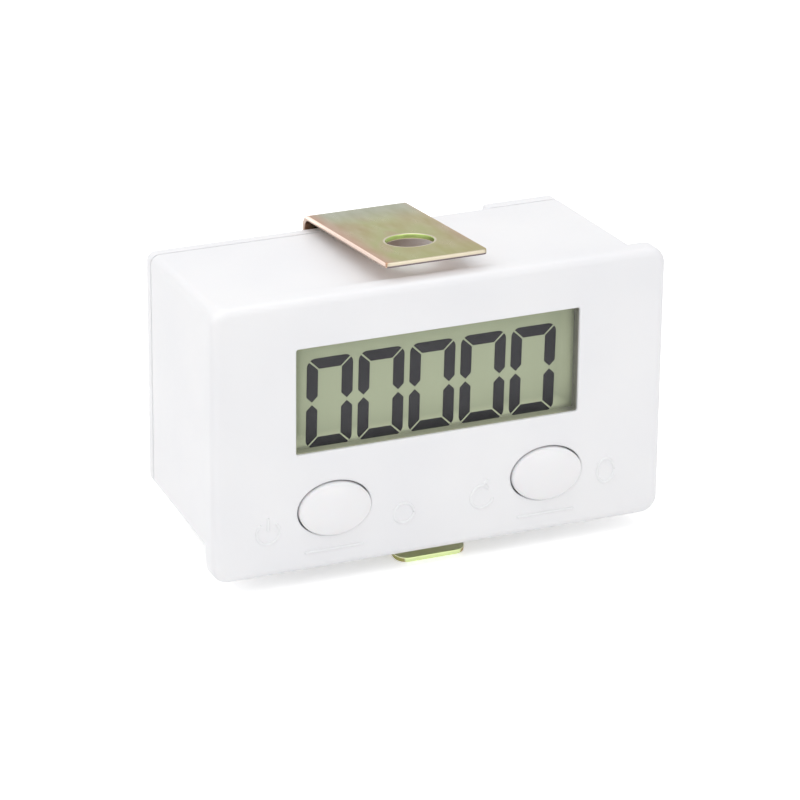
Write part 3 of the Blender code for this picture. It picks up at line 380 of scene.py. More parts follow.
BOARD_SCREWS, LID_SCREWS = [(-5.5, -9.9), (5.5, -9.9)], [(-24.0, -11.7), (-24.0, 11.7)]
for at in BOARD_SCREWS:
    surfaces += boss(oval(1.9, 1.9, at, 32), front=0.8, back=8.0, centre=at, bore=1.1, bore_front=4.0)
for at, (low, high) in zip(LID_SCREWS, [(-14.3, -9.7), (9.7, 14.3)]):
    corner_boss = rectangle((-26.8, low), (-22.0, high), 0.3, 3)
    surfaces += boss(corner_boss, front=10.2, back=26.25, centre=at, bore=1.2, bore_front=19.6)
make_piece("front_shell", surfaces, "counter", SHELL_WHITE, ["front_housing"])

# %% [markdown]
# ## Raised marks beside the buttons
# Such counters carry low raised marks around their buttons, white on white. Here they are generic: a
# ring with a stroke and a ring beside the power button, an arrow that turns back and a zero beside the
# reset button, and a bar below each. A mark is a bead: a low half-round carried along a path, 0.15 mm
# high, whose ends close roundly. Text tools could do it too, but a bead catches light as a moulded
# line does.


# %% A bead along a path
def bead(path, half_width=0.2, height=0.15, sides=10):
    """At each point of the path, a half-ellipse of that width and height stands across the path.
    Near an open end the width and height follow sqrt(1 - distance^2), which closes the end roundly."""
    path = np.asarray(path, float)
    along = np.gradient(path, axis=0)
    along /= np.linalg.norm(along, axis=1, keepdims=True)
    across = np.stack([-along[:, 1], along[:, 0]], axis=1)
    run = np.concatenate([[0], np.cumsum(np.linalg.norm(np.diff(path, axis=0), axis=1))])
    near_end = 1 - np.clip(np.minimum(run, run[-1] - run) / half_width, 0, 1)
    size = np.sqrt(1 - near_end ** 2)[:, None]
    angle = np.linspace(0, 2 * np.pi, sides * 2 + 1)[:-1]
    side = half_width * np.cos(angle)[None, :] * size
    lift = np.where(np.sin(angle) > 0, height, 0.05)[None, :] * np.sin(angle)[None, :] * size
    x, z = (path[:, None, :] + across[:, None, :] * side[:, :, None]).transpose(2, 0, 1)
    return skin(np.stack([x, -lift, z], axis=2))


def arc(centre, radius, start, end, steps=40):
    """Points on a circle between two angles in degrees."""
    angle = np.radians(np.linspace(start, end, steps))
    return np.stack([centre[0] + radius * np.cos(angle), centre[1] + radius * np.sin(angle)], axis=1)


# %% The marks themselves
zero = oval(1.15, 1.6, (22.4, -10.9), 60)
paths = [arc((-22.9, -11.8), 1.5, 125, 415), np.linspace((-22.9, -11.6), (-22.9, -9.8), 40),
         arc((-5.0, -12.1), 1.3, 0, 361, 60), arc((5.5, -11.7), 1.5, 60, 350),
         np.linspace((5.5, -10.2), (6.3, -9.5), 16), np.linspace((5.5, -10.2), (6.45, -10.75), 16),
         np.concatenate([zero, zero[:2]]), np.linspace((-18.2, -15.3), (-10.2, -15.3), 40),
         np.linspace((10.2, -15.3), (18.2, -15.3), 40)]
make_piece("raised_marks", [bead(path) for path in paths], "counter", SHELL_WHITE)

# %% [markdown]
# ## The back cover
# A flat lid closes the shell. It has a hole for the clamp screw, two for its own screws, and an opening
# for the battery cap with two notches that let the cap's lugs pass after a sixth of a turn. The lid is
# shorter on the right, where the terminal block stands. Between the strap and the block its upper edge
# is cut down for a blade to reach under it. The notch needs no boolean: its two corners are put into
# the outline, and the points to the right of them are lowered.


# %% The notched opening, and the lid around it
def notched_opening(centre, radius, half_width, reach, turn):
    """In polar form: the circle's radius, or a slot's edge where that is further out. A slot's edge is
    min(half_width / |sin|, reach / |cos|) of the angle from the slot's direction."""
    key = np.array([math.asin(half_width / radius), math.atan2(half_width, reach)])
    key = np.concatenate([key, -key, key + np.pi, np.pi - key])
    angle = np.unique(np.concatenate([np.linspace(0, 2 * np.pi, 97)[:-1], key % (2 * np.pi)]))
    with np.errstate(divide="ignore"):
        slot = np.minimum(half_width / np.abs(np.sin(angle)), reach / np.abs(np.cos(angle)))
    distance = np.where(slot > radius + 1e-9, np.minimum(slot, reach * 1.1), radius)
    return np.stack([distance * np.cos(angle + turn), distance * np.sin(angle + turn)], axis=1) + centre


LID_RIGHT, NOTCH_LEFT, NOTCH_FLOOR = 17.4, 7.6, 14.4


def lid_outline(depth, inset):
    """The lid's outside: all edges come in by inset, the right side and the notch's floor hardly. The
    first ten points, round the upper right corner, are lowered to the floor of the notch."""
    wide, high = half_size(depth)
    outline = rectangle((-wide + inset, -high + inset), (LID_RIGHT - 0.12 * inset, high - inset),
                        (0.3, 1.2 - inset, 1.2 - inset, 0.3))
    low = NOTCH_FLOOR - 0.3 * inset
    right_corner = outline[:10] - (0, high - inset - low)
    steps = np.array([(NOTCH_LEFT - inset, low), (NOTCH_LEFT - inset, high - inset)])
    return np.concatenate([right_corner, steps, outline[10:]])


CAP_MIDDLE, EDGE = np.array([-17.5, 0.0]), 0.3
t = np.linspace(0, np.pi / 2, 7)
rows = [(lid_outline(LID_FRONT, 0.25), LID_FRONT), (lid_outline(LID_FRONT, 0.1), LID_FRONT),
        (lid_outline(LID_FRONT + 0.1, 0.0), LID_FRONT + 0.1)]
rows += [(lid_outline(COVER_BACK, EDGE * (1 - np.cos(a))), COVER_BACK - EDGE + EDGE * np.sin(a)) for a in t]
rows += [(lid_outline(COVER_BACK, EDGE + 0.15), COVER_BACK)]
openings = [notched_opening(CAP_MIDDLE, radius=6.4, half_width=2.3, reach=7.9, turn=math.radians(30)),
            oval(1.8, 1.8, (0, 0), 32)] + [oval(1.2, 1.2, at, 24) for at in LID_SCREWS]
surfaces = capped(rows, openings, openings) + [tube(hole, LID_FRONT, COVER_BACK) for hole in openings]
print("the lid:", len(rows), "outlines of", len(rows[0][0]), "points, and", len(openings), "openings")

# %% The lid's locating lips and the boss that holds the clamp nut
NUT_FRONT, NUT_BACK, SUNK_BACK = 20.5, 23.5, 26.65
for z in (-12.8, 12.8):
    lip = rectangle((-21.0, z - 0.6), (16.7, z + 0.6), 0.4, 3)
    surfaces += solid(lip, 25.1, SUNK_BACK, front_rim=0.15, back_rim=0.01)
hexagon = oval(3.52, 3.52, (0, 0), 6)
bore, outside = oval(1.8, 1.8, (0, 0), 32), oval(4.6, 4.6, (0, 0), 64)
surfaces += capped([(outside, NUT_FRONT), (outside, SUNK_BACK)], [hexagon], [bore])
surfaces += [tube(hexagon, NUT_FRONT, NUT_BACK), plate(NUT_BACK, hexagon, [bore]),
             tube(bore, NUT_BACK, SUNK_BACK)]
make_piece("back_cover", surfaces, "counter", SHELL_WHITE, ["rear_cover"])

# %% [markdown]
# ## The terminal block
# At the right end a comb-shaped block takes four wires. Each screw sits in a round well, and a slot
# leads from the well to the right side for the wire. The comb's outline goes round all four wells, and
# below the slots' floor the block is plain, so the same loop is used with and without the slots. From
# that floor each well goes on down as a round pit for the foot of the screw's head.

# %% The comb's outline
WELLS, WELL_X, WELL_RADIUS, HALF_SLOT = np.array([-9.6, -3.2, 3.2, 9.6]), 21.0, 2.3, 2.0
BLOCK_RIGHT, BLOCK_BACK, SLOT_FLOOR, PIT_FLOOR, THREAD_END = 27.99, 28.2, 26.9, 26.0, 21.5
block_outline = rectangle((17.7, -15.54), (BLOCK_RIGHT, 15.54), (1.2, 0.5, 0.5, 1.2))
MOUTH = math.degrees(math.asin(HALF_SLOT / WELL_RADIUS))


def wire_slot(z):
    """From the right side into a slot, round the well and out again: two straight sides and an arc."""
    around = arc((WELL_X, z), WELL_RADIUS, -MOUTH, MOUTH - 360, 33)
    return np.concatenate([[(BLOCK_RIGHT, z - HALF_SLOT)], around, [(BLOCK_RIGHT, z + HALF_SLOT)]])


slots = [wire_slot(z) for z in WELLS]
plain = np.concatenate([*(slot[[0, -1]] for slot in slots), block_outline])
comb = np.concatenate([*slots, block_outline])
print("comb outline:", len(comb), "points, plain outline:", len(plain))

# %% The block: plain foot, comb above it, and the body that reaches into the shell
foot, top = rim(plain, LID_FRONT, 1, 0.06, 2), rim(comb, BLOCK_BACK, -1, 0.16, 4)
surfaces = [stack(foot + [(plain, SLOT_FLOOR)]), stack([(comb, SLOT_FLOOR)] + top[::-1]),
            plate(BLOCK_BACK, top[0][0])]
inner_body = rectangle((18.0, -13.4), (25.7, 13.4), 0.3, 3)
inner_front = shrink(inner_body, 0.1)
surfaces += [plate(LID_FRONT, foot[0][0], [inner_body]), plate(17.8, inner_front),
             stack([(inner_body, LID_FRONT), (inner_body, 17.9), (inner_front, 17.8)])]
for slot, z in zip(slots, WELLS):
    pit, thread = oval(2.22, 2.22, (WELL_X, z), 48), oval(1.5, 1.5, (WELL_X, z), 24)
    surfaces += [plate(SLOT_FLOOR, slot, [pit]), tube(pit, SLOT_FLOOR, PIT_FLOOR),
                 plate(PIT_FLOOR, pit, [thread]), tube(thread, PIT_FLOOR, THREAD_END),
                 plate(THREAD_END, thread)]
make_piece("terminal_comb", surfaces, "counter", SHELL_WHITE, ["terminal_block"])

# %% [markdown]
# ## Push buttons
# Each cap is a dome over an oval: the height over the face falls off as the root of one minus the
# squared distance from the middle. Two ears behind the front wall keep it from falling out, and a stem
# reaches back to its switch. A stretched sphere would come close, but the formula keeps the edge
# upright where it meets the hole.


# %% A domed oval cap with ears and stem
def button(word, centre):
    """The dome: (x, z) = centre + sin(t) * oval, depth = -proud - dome * cos(t), for t over 90 degrees."""
    proud, dome, cap_back, chamfer = 0.3, 0.9, 2.55, 0.15
    base = oval(*BUTTON_CAP)
    rows = [(base * max(np.sin(t), 1e-9) + centre, -proud - dome * np.cos(t))
            for t in np.linspace(0.0, np.pi / 2, 19)]
    rows += [(base + centre, 0.0), (base + centre, cap_back - chamfer),
             (shrink(base, chamfer) + centre, cap_back)]
    ears = rectangle((-6.3, -2.2), (6.3, 2.2), 0.5, 4) + centre
    stem = oval(1.4, 1.4, centre, 32)
    parts = [stack(rows), plate(cap_back, rows[-1][0])] + solid(ears, 1.8, 2.7) + solid(stem, 2.6, 3.7)
    make_piece(f"{word}_cap", parts, f"{word}_key", BUTTON_WHITE, [f"{word}_button"])


for word, centre in BUTTON_PLACES.items():
    button(word, centre)

# %% [markdown]
# ## The window and the display
# The window is a clear plate that fills the opening from behind, a third of a millimetre below the
# face. It is thin and flat, so what lies behind it does not shift: a faint, glossy, nearly transparent
# plastic shows that better than true refraction would. Behind it lies the liquid crystal cell, two
# glasses with a film that looks grey-green. Little light gets in behind the frame at the right and
# below, so painted light makes the film paler there, and it darkens only gently, as on the real
# display. At the left, painted shade makes it darker.

# %% The window's clear plastic
CLEAR = new_finish("clear_window_plastic", IOR=1.45, Alpha=0.03)
colour_from(CLEAR, grain(CLEAR, 120, 1.0), [(0.3, (0.3, 0.33, 0.31)), (0.7, (0.36, 0.39, 0.37))])
gloss_from(CLEAR, grain(CLEAR, 400), 0.04, 0.09)
PANE_FRONT, PANE_STEP, PANE_BACK = 0.3, 1.8, 2.3
pane = rectangle((-18.9, -1.925), (18.0, 11.225), 0.3, 4)
pane_foot = rectangle((-20.0, -3.025), (19.1, 12.325), 0.5, 4)
rows = rim(pane, PANE_FRONT, 1, 0.12, 3) + [(pane, PANE_STEP), (pane_foot, PANE_STEP), (pane_foot, PANE_BACK)]
make_piece("window_pane", capped(rows), "counter", CLEAR, ["window_lens"])

# %% A thin frame lines the opening round the pane: olive, partly a seal and partly standing for the opening's shade, and painted darker at the right as shade
LINING_WITH_PAINTED_SHADE = new_finish("window_lining", Roughness=0.7)
# Painted shade: the lining's colour darkens towards the right, where the opening's wall lies in shade.
colour_from(LINING_WITH_PAINTED_SHADE, fade(LINING_WITH_PAINTED_SHADE, "X", 15.3, 18.0), [(0.0, (0.36, 0.375, 0.27)), (1.0, (0.21, 0.21, 0.18))])
relief_from(LINING_WITH_PAINTED_SHADE, grain(LINING_WITH_PAINTED_SHADE, 1800), 0.000003, 0.4)
LINING_BACK, outer, inner = 1.45, shrink(WINDOW, 0.03), shrink(WINDOW, 0.15)
surfaces = [tube(edge, PANE_FRONT, LINING_BACK) for edge in (outer, inner)]
surfaces += [plate(depth, outer, [inner]) for depth in (PANE_FRONT, LINING_BACK)]
make_piece("window_lining", surfaces, "counter", LINING_WITH_PAINTED_SHADE)

# %% The display film: grey-green, with painted shade at the left edge and painted light at the right and lower edges
FILM = new_finish("display_film", IOR=1.5, Specular_IOR_Level=0.2)
# The fade towards the left edge is painted shade: it darkens the film there.
wander_and_painted_shade = {0: grain(FILM, 240, 2.0), 1: 0.08, 2: fade(FILM, "X", -16.8, -20.6)}
colour_from(FILM, add(FILM, "Math", wander_and_painted_shade, operation="MULTIPLY_ADD").outputs["Value"],
            [(0.0, (0.46, 0.505, 0.35)), (0.12, (0.435, 0.48, 0.325)),
             (0.55, (0.21, 0.23, 0.16)), (1.0, (0.05, 0.052, 0.045))])
# Painted light: the film is tinted paler towards the right and lower edges, where the frame keeps light off
# it.
tint_from(FILM, joined(FILM, "MAXIMUM", fade(FILM, "X", 16.2, 19.5), fade(FILM, "Z", -0.3, -2.4)),
          (0.84, 0.9, 0.64))
gloss_from(FILM, grain(FILM, 1500), 0.5, 0.6)

# %% The display cell: a front glass, and a shorter rear glass that leaves two contact ledges
CELL_FRONT, CELL_STEP, CELL_BACK = 2.6, 3.6, 4.6
front_glass = rectangle((-21.3, -4.6), (20.7, 12.2), 0.3, 3)
rear_glass = rectangle((-21.3, -2.6), (20.7, 10.2), 0.3, 3)
rows = rim(front_glass, CELL_FRONT, 1, 0.08, 2)
rows += [(front_glass, CELL_STEP), (rear_glass, CELL_STEP), (rear_glass, CELL_BACK)]
make_piece("display_cell", capped(rows), "counter", FILM, ["lcd_panel"])

# %% [markdown]
# ## Five zeros
# Each digit has seven bars and shows six of them. The bars meet on slanted cuts with a hairline gap,
# the outer corners are rounded, and the side bars come to a point at half height. One upright and one
# level bar are written down as points, mirrored into a zero, leaned by one degree and repeated five
# times. They are thin plates, two hundredths of a millimetre proud of the glass.

# %% The bars of one zero
HALF_WIDTH, HALF_HEIGHT, UPRIGHT, LEVEL, ROUND = 3.02, 5.85, 1.47, 1.4, 1.0
POINT, SHOULDER, HAIRLINE, CORNER_DROP, CORNER_SHIFT = 0.17, 0.9, 0.13, 0.12, 0.1
left, top = -HALF_WIDTH, HALF_HEIGHT
upright_bar = np.concatenate([
    [(left + UPRIGHT / 2, POINT), (left + UPRIGHT, SHOULDER), (left + UPRIGHT, top - LEVEL - HAIRLINE)],
    arc((left + ROUND, top - ROUND - CORNER_DROP), ROUND, 136, 180, 6), [(left, SHOULDER)]])
half_level = np.concatenate([[(left + UPRIGHT + HAIRLINE, top - LEVEL)],
                             arc((left + ROUND + CORNER_SHIFT, top - ROUND), ROUND, 132, 90, 6)])
level_bar = np.concatenate([half_level * (-1, 1), half_level[::-1]])
bars = [upright_bar * flip for flip in ((1, 1), (-1, 1), (-1, -1), (1, -1))]
bars += [level_bar, level_bar * (1, -1)]
print("bars in one zero:", len(bars))

# %% Ink for the bars, and the five digits
INK = new_finish("display_ink", IOR=1.45, Specular_IOR_Level=0.15)
colour_from(INK, grain(INK, 300, 1.0), [(0.3, (0.037, 0.034, 0.041)), (0.7, (0.044, 0.041, 0.048))])
gloss_from(INK, grain(INK, 900), 0.5, 0.6)
INK_FRONT, INK_BACK, ROW_MIDDLE, PITCH = CELL_FRONT - 0.02, CELL_FRONT + 0.01, np.array([-0.33, 3.12]), 6.77
lean = np.array([(1, 0), (math.tan(math.radians(1.0)), 1)])
surfaces = []
for bar in [bar @ lean + ROW_MIDDLE + (k * PITCH, 0) for k in range(-2, 3) for bar in bars]:
    surfaces += capped([(bar, INK_FRONT), (bar, INK_BACK)])
make_piece("digit_bars", surfaces, "counter", INK)

# %% [markdown]
# ## The clamp strap
# The strap is a blank of thin steel sheet with three holes, folded twice. One end is square, and the
# other, which goes below the counter, is a narrower tongue with round corners. It is made the same way:
# a flat outline in (distance along, distance across), with many narrow strips where the bends will be.
# Then a formula folds it: a straight back wall, an arc of 1.8 mm radius, and a straight arm that leans
# out by 5.7 degrees, so that its tip presses on the panel.


# %% The folding rule
LEAN = math.radians(90 - 5.7)
WALL, BEND, MIDDLE, HALF_SHEET = 15.442, 1.825, 28.725, 0.325
ARM_START = WALL + BEND * LEAN


def along_arm(depth):
    """How far along the blank the arm reaches that depth: past the bend, over the sine of its lean."""
    return ARM_START + (MIDDLE - BEND + BEND * math.cos(LEAN) - depth) / math.sin(LEAN)


def fold(along, across, lift):
    """Carries a point of the blank to the strap. Along the wall the point rises. In the bend the angle
    is the distance past the wall over the radius. On the arm it goes on along the last direction. Lift
    is added along the face's own normal, and the lower half mirrors the upper one."""
    run = np.abs(along)
    angle = np.clip((run - WALL) / BEND, 0, LEAN)
    past = np.maximum(run - ARM_START, 0)
    y = MIDDLE - BEND + BEND * np.cos(angle) - past * np.sin(LEAN) + lift * np.cos(angle)
    z = np.minimum(run, WALL) + BEND * np.sin(angle) + past * np.cos(LEAN) + lift * np.sin(angle)
    return np.stack([across, y, np.where(along < 0, -z, z)], axis=-1)


REACH = along_arm(2.15) - 0.04
print("tip of the arm:", fold(np.array(REACH), np.array(0.0), np.array(HALF_SHEET)).round(3))

# %% The blank: its two ends, its holes, and the points along both bends
HALF_STRAP, HALF_TONGUE, SHOULDER_DEPTH, HOLE_DEPTH, STRIPS = 6.75, 4.7, 24.15, 10.6, 12
bend_rows = np.linspace(WALL, ARM_START, STRIPS + 1)
stations = np.concatenate([-bend_rows[::-1], bend_rows])
tip = rectangle((-REACH, -HALF_STRAP), (REACH, HALF_STRAP), 0.7, 9)
tongue = rectangle((-REACH, -HALF_TONGUE), (REACH, HALF_TONGUE), 1.6, 9)
quarter = len(tip) // 4
shoulder = -along_arm(SHOULDER_DEPTH)
upper_side = np.stack([stations[::-1], np.full(len(stations), HALF_STRAP)], axis=1)
lower_side = np.stack([stations, np.full(len(stations), -HALF_STRAP)], axis=1)
far_end = np.concatenate([[(shoulder, HALF_STRAP), (shoulder, HALF_TONGUE)], tongue[quarter:3 * quarter],
                          [(shoulder, -HALF_TONGUE), (shoulder, -HALF_STRAP)]])
blank = np.concatenate([tip[:quarter], upper_side, far_end, lower_side, tip[3 * quarter:]])
strap_holes = [oval(3.0, 3.0, (side * along_arm(HOLE_DEPTH), 0), 72) for side in (1, -1)]
strap_holes += [oval(1.8, 1.8, (0, 0), 32)]
print("blank:", 2 * REACH, "mm long,", len(blank), "points")


# %% Fold the blank: two faces and the rounded edges between them
def folded(surface):
    """A surface drawn as (along, lift, across) is folded point by point."""
    points, faces = surface
    return fold(points[:, 0], points[:, 2], points[:, 1]), faces


def pressed_edge(outline, hole=False):
    """From the inner face round the edge to the outer face: the outer rim is drawn in by the punch."""
    outer = rim(outline, HALF_SHEET, -1, 0.12, 4, hole)[::-1]
    return rim(outline, -HALF_SHEET, 1, 0.06, 2, hole) + outer


def strap_face(outline, holes, lift):
    """One face of the blank: the wall and both arms are plates with a hole each, and each bend is an open
    skin of strips between the two long sides."""
    start, side = quarter + len(stations), STRIPS + 1
    upper = outline[quarter:start]
    lower = outline[start + len(far_end):-quarter][::-1]
    arm = np.concatenate([lower[:1], outline[-quarter:], outline[:quarter], upper[:1]])
    other_arm = np.concatenate([upper[-1:], outline[start:start + len(far_end)], lower[-1:]])
    wall = np.concatenate([upper[side - 1:side + 1], lower[side - 1:side + 1][::-1]])
    bends = [np.stack([upper[k:k + side], lower[k:k + side]]) for k in (0, side)]
    strips = [skin(np.insert(bend, 1, lift, axis=2), closed=False) for bend in bends]
    return [plate(lift, *part) for part in zip((arm, other_arm, wall), ([hole] for hole in holes))] + strips


edges = [pressed_edge(blank)] + [pressed_edge(hole, hole=True) for hole in strap_holes]
surfaces = [folded(stack(edge)) for edge in edges]
for k, lift in ((0, -HALF_SHEET), (-1, HALF_SHEET)):
    outline, *openings = [edge[k][0] for edge in edges]
    surfaces += [folded(face) for face in strap_face(outline, openings, lift)]
print("the strap:", len(surfaces), "surfaces")

# %% [markdown]
# Yellow passivation is a thin film on zinc, and like oil on water it takes its colour from its
# thickness: olive and gold, with pink where it is thinner and a dull grey-green where it is thickest.
# The patches are some millimetres long and follow the rolling direction. The metal under it reflects,
# so the finish is metallic, with the colour carried by slow noise.

# %% Yellow-passivated steel, greyer at the bend and pinker at both sides
STEEL = new_finish("yellow_passivated_steel", Metallic=1.0)
colour_from(STEEL, grain(STEEL, 105, 2.0, (1.0, 0.45, 1.0)),
            [(0.3, (0.38, 0.27, 0.15)), (0.42, (0.365, 0.33, 0.13)), (0.5, (0.345, 0.35, 0.12)),
             (0.58, (0.385, 0.285, 0.145)), (0.7, (0.345, 0.35, 0.125))])
tint_from(STEEL, fade(STEEL, "Y", 19.0, 27.0), (0.345, 0.355, 0.255))
tint_from(STEEL, fade(STEEL, "X", -4.4, -6.9), (0.45, 0.26, 0.17))
tint_from(STEEL, fade(STEEL, "X", 5.6, 8.2), (0.44, 0.26, 0.18))
gloss_from(STEEL, grain(STEEL, 700, 3.0, (1.0, 0.3, 1.0)), 0.26, 0.4)
relief_from(STEEL, grain(STEEL, 2600, 3.0, (1.0, 0.25, 1.0)), 0.000003, 0.4)

# %% [markdown]
# Where the sheet is cut, at its sides, its front end and the holes, it is painted bright: partly the
# thin film there, and partly a painted highlight along the cut. Low on the upper arm's cut runs a dark
# painted shade line. Inside the arms the film is bright too, which throws a warm light on the shell.
# The tongue's top and end are painted pale green, partly their film and partly painted light where the
# flange shades them. Masks could be painted by hand, but these places are told by coordinates alone:
# inside an arm, |z| + y * slope is smaller than halfway through the sheet.


# %% Shares told by coordinates
def below(finish, steps, full, none):
    """Vector steps on the place, each an operation and its vector, end in one value. The share is 1 where
    that value is under full and 0 where it is over none, both in millimetres."""
    value = place_of(finish)
    for operation, vector in steps:
        node = add(finish, "VectorMath", {0: value, 1: vector}, operation=operation)
        value = node.outputs["Value" if operation in ("DISTANCE", "DOT_PRODUCT") else "Vector"]
    return spread(finish, value, none / 1000, full / 1000)


def both(first, second):
    """Where two shares of the strap are 1 together."""
    return joined(STEEL, "MULTIPLY", first, second)


slope = math.tan(math.pi / 2 - LEAN)
halfway = WALL + BEND * math.sin(LEAN) + slope * (MIDDLE - BEND + BEND * math.cos(LEAN))
height_over_arm = [("SUBTRACT", ORIGIN), ("ABSOLUTE", (0, 0, 0)), ("DOT_PRODUCT", (0, slope, 1))]
from_hole = [("MULTIPLY", (1, 1, 0)), ("DISTANCE", (*to_frame([0, HOLE_DEPTH, 0])[:2], 0))]
print("halfway through the sheet:", round(halfway, 3), "mm over the arm's line")

# %% The cuts, the faces under the arms, and a painted shade line
inner_face = below(STEEL, height_over_arm, halfway - 0.3, halfway - 0.2)
sides = joined(STEEL, "MAXIMUM", fade(STEEL, "X", -6.6, -6.7), fade(STEEL, "X", 6.6, 6.7))
front_end = fade(STEEL, "Y", 2.4, 2.28)
# painted_shade_line marks a dark painted shade low on the upper arm's cut, at its sides and front end.
painted_shade_line = both(fade(STEEL, "Z", -1.0, 1.0), below(STEEL, height_over_arm, halfway - 0.16, halfway - 0.08))
# CREAM paints the cuts and the rings round the holes bright: partly the film's colour, partly a painted
# highlight.
CREAM = (0.58, 0.52, 0.4)
layers = {
    "ring round a hole": (below(STEEL, from_hole, 3.2, 3.36), CREAM),
    "wall of a hole": (below(STEEL, from_hole, 3.03, 3.05), (0.5, 0.65, 0.22)),
    "inside of an arm": (both(inner_face, fade(STEEL, "Y", 27.6, 26.6)), (0.95, 0.78, 0.66)),
    # Painted light: the tongue's top is written paler, partly its green film and partly light the flange's
    # shade keeps off.
    "top of the tongue": (both(inner_face, fade(STEEL, "Z", -18.6, -19.0)), (0.95, 0.99, 0.65)),
    # The bright cut sides are partly the film's colour and partly a painted highlight along the cut.
    "cut sides": (sides, (1.0, 0.8, 0.68)),
    "cut front end": (front_end, CREAM),
    # Painted light: the tongue's end is written paler, partly its green film and partly light that its shade
    # keeps off.
    "end of the tongue": (both(front_end, fade(STEEL, "Z", 1.0, -1.0)), (0.72, 0.82, 0.42)),
    # Painted shade: dark lines low on the upper arm's cut sides and front end.
    "painted shade line at the sides": (both(sides, painted_shade_line), (0.45, 0.34, 0.28)),
    "painted shade line in front": (both(front_end, painted_shade_line), (0.15, 0.12, 0.13)),
}
for share, colour in layers.values():
    tint_from(STEEL, share, colour)
print("layers on the strap:", ", ".join(layers))
make_piece("clamp_strap", surfaces, "clamp", STEEL, ["mounting_bracket"])

# %% [markdown]
# ## Screws
# All visible screws are the same kind: a pan head, upright at its foot and rounded to a flat crown, with
# a cross recess. A lathe profile makes the head, and the crown is a plate with the cross left open. The
# cross narrows on its way down, as the driver's tip does.

# %% Bright zinc plating
PLATED = new_finish("bright_zinc_plating", Metallic=1.0)
colour_from(PLATED, grain(PLATED, 500), [(0.3, (0.5, 0.51, 0.52)), (0.7, (0.62, 0.61, 0.6))])
gloss_from(PLATED, grain(PLATED, 1800), 0.22, 0.36)
relief_from(PLATED, grain(PLATED, 4000, 2.0), 0.000003, 0.5)


# %% A screw at any place
def cross(length, width, centre):
    """A plus sign of that length and width, counter-clockwise, with twelve corners."""
    a, b = length / 2, width / 2
    points = np.array([(a, -b), (a, b), (b, b), (b, a), (-b, a), (-b, b),
                       (-a, b), (-a, -b), (-b, -b), (-b, -a), (b, -a), (b, -b)])
    return points + np.asarray(centre, float)


def screw(name, node, body, centre, seat, length, shank, head, height):
    """The head: radius head * (0.62 + 0.38 * cos t), depth seat + height * (0.45 + 0.55 * sin t)."""
    crown = seat + height
    rows = [(shank * 0.6, seat - length), (shank, seat - length + shank * 0.5), (shank, seat),
            (head - 0.1, seat), (head, seat + 0.1)]
    rows += [(head * (0.62 + 0.38 * np.cos(t)), seat + height * (0.45 + 0.55 * np.sin(t)))
             for t in np.linspace(0, np.pi / 2, 9)]
    rows += [(head * 0.58, crown)]
    rings = [(oval(r, r, centre, 48), d) for r, d in rows]
    recess, bottom = cross(head * 1.05, head * 0.26, centre), cross(head * 0.62, head * 0.18, centre)
    floor = crown - height * 0.42
    surfaces = capped(rings, back_holes=[recess])
    surfaces += [stack([(recess, crown), (bottom, floor)]), plate(floor, bottom)]
    make_piece(name, surfaces, body, PLATED, [node])


for number, z in enumerate(WELLS[::-1], 1):
    screw(f"wire_screw_{number}", f"terminal_screw_{number}", "counter", (WELL_X, z),
          seat=26.3, length=4.5, shank=1.2, head=2.0, height=1.6)
for word, at in zip(("upper", "lower"), LID_SCREWS[::-1]):
    screw(f"lid_screw_{word}", f"cover_screw_{word}", "counter", at,
          seat=28.4, length=8.5, shank=0.9, head=1.9, height=1.3)
screw("strap_screw", "clamp_screw", "clamp", (0, 0),
      seat=29.35, length=12.8, shank=1.5, head=2.8, height=2.35)

# %% [markdown]
# ## The battery cap
# A coin turns this cap by a sixth of a turn to free its lugs, the two ends of a bar through its neck.
# The cap is a disc with a slot, and the short neck fills the opening. Disc and neck are one stack of
# circles; the slot is left open in the back plate and closed by its own floor.

# %% Disc, neck, lugs and coin slot
NECK_FRONT, DISC_FRONT, COIN_FLOOR, DISC_BACK = 24.7, 28.4, 29.0, 29.7
disc, neck = oval(8.3, 8.3, CAP_MIDDLE, 144), oval(6.1, 6.1, CAP_MIDDLE, 144)
rows = [(shrink(neck, 0.3), NECK_FRONT), (neck, NECK_FRONT + 0.3), (neck, DISC_FRONT)]
rows += rim(disc, DISC_FRONT, 1, 0.1, 3) + rim(disc, DISC_BACK, -1, 0.4, 7)[::-1]
coin_slot = rectangle((-5.5, -0.8), (5.5, 0.8), 0.45, 5) + CAP_MIDDLE
slot_edge = rim(coin_slot, DISC_BACK, -1, 0.12, 3, hole=True) + [(coin_slot, COIN_FLOOR)]
surfaces = capped(rows, back_holes=[slot_edge[0][0]]) + [stack(slot_edge), plate(COIN_FLOOR, coin_slot)]
surfaces += solid(rectangle((-1.8, -7.4), (1.8, 7.4), 0.3, 3) + CAP_MIDDLE, 25.1, 26.3)
make_piece("coin_cap", surfaces, "cap", SHELL_WHITE, ["battery_cap"])

# %% [markdown]
# ## Inside pieces
# The pieces inside keep their CAD shapes, which are right, and only get finishes: a green solder mask
# with a hint of copper tracks, carbon-striped rubber, black resin, brushed nickel, brass, and the dull
# white of unpolished mouldings. They show only when a cover is opened, but each has its own grain.


# %% A finish for every inside piece
def simple_finish(name, low, high, gloss, scale, height=0.000003, stretch=(1, 1, 1), **sockets):
    """A finish whose colour runs between two tones, with uneven gloss and a fine relief."""
    made = new_finish(name, **sockets)
    colour_from(made, grain(made, scale, 2.0, stretch), [(0.35, low), (0.65, high)])
    gloss_from(made, grain(made, scale * 2), *gloss)
    relief_from(made, grain(made, scale * 4, 2.0, stretch), height, 0.5)
    return made


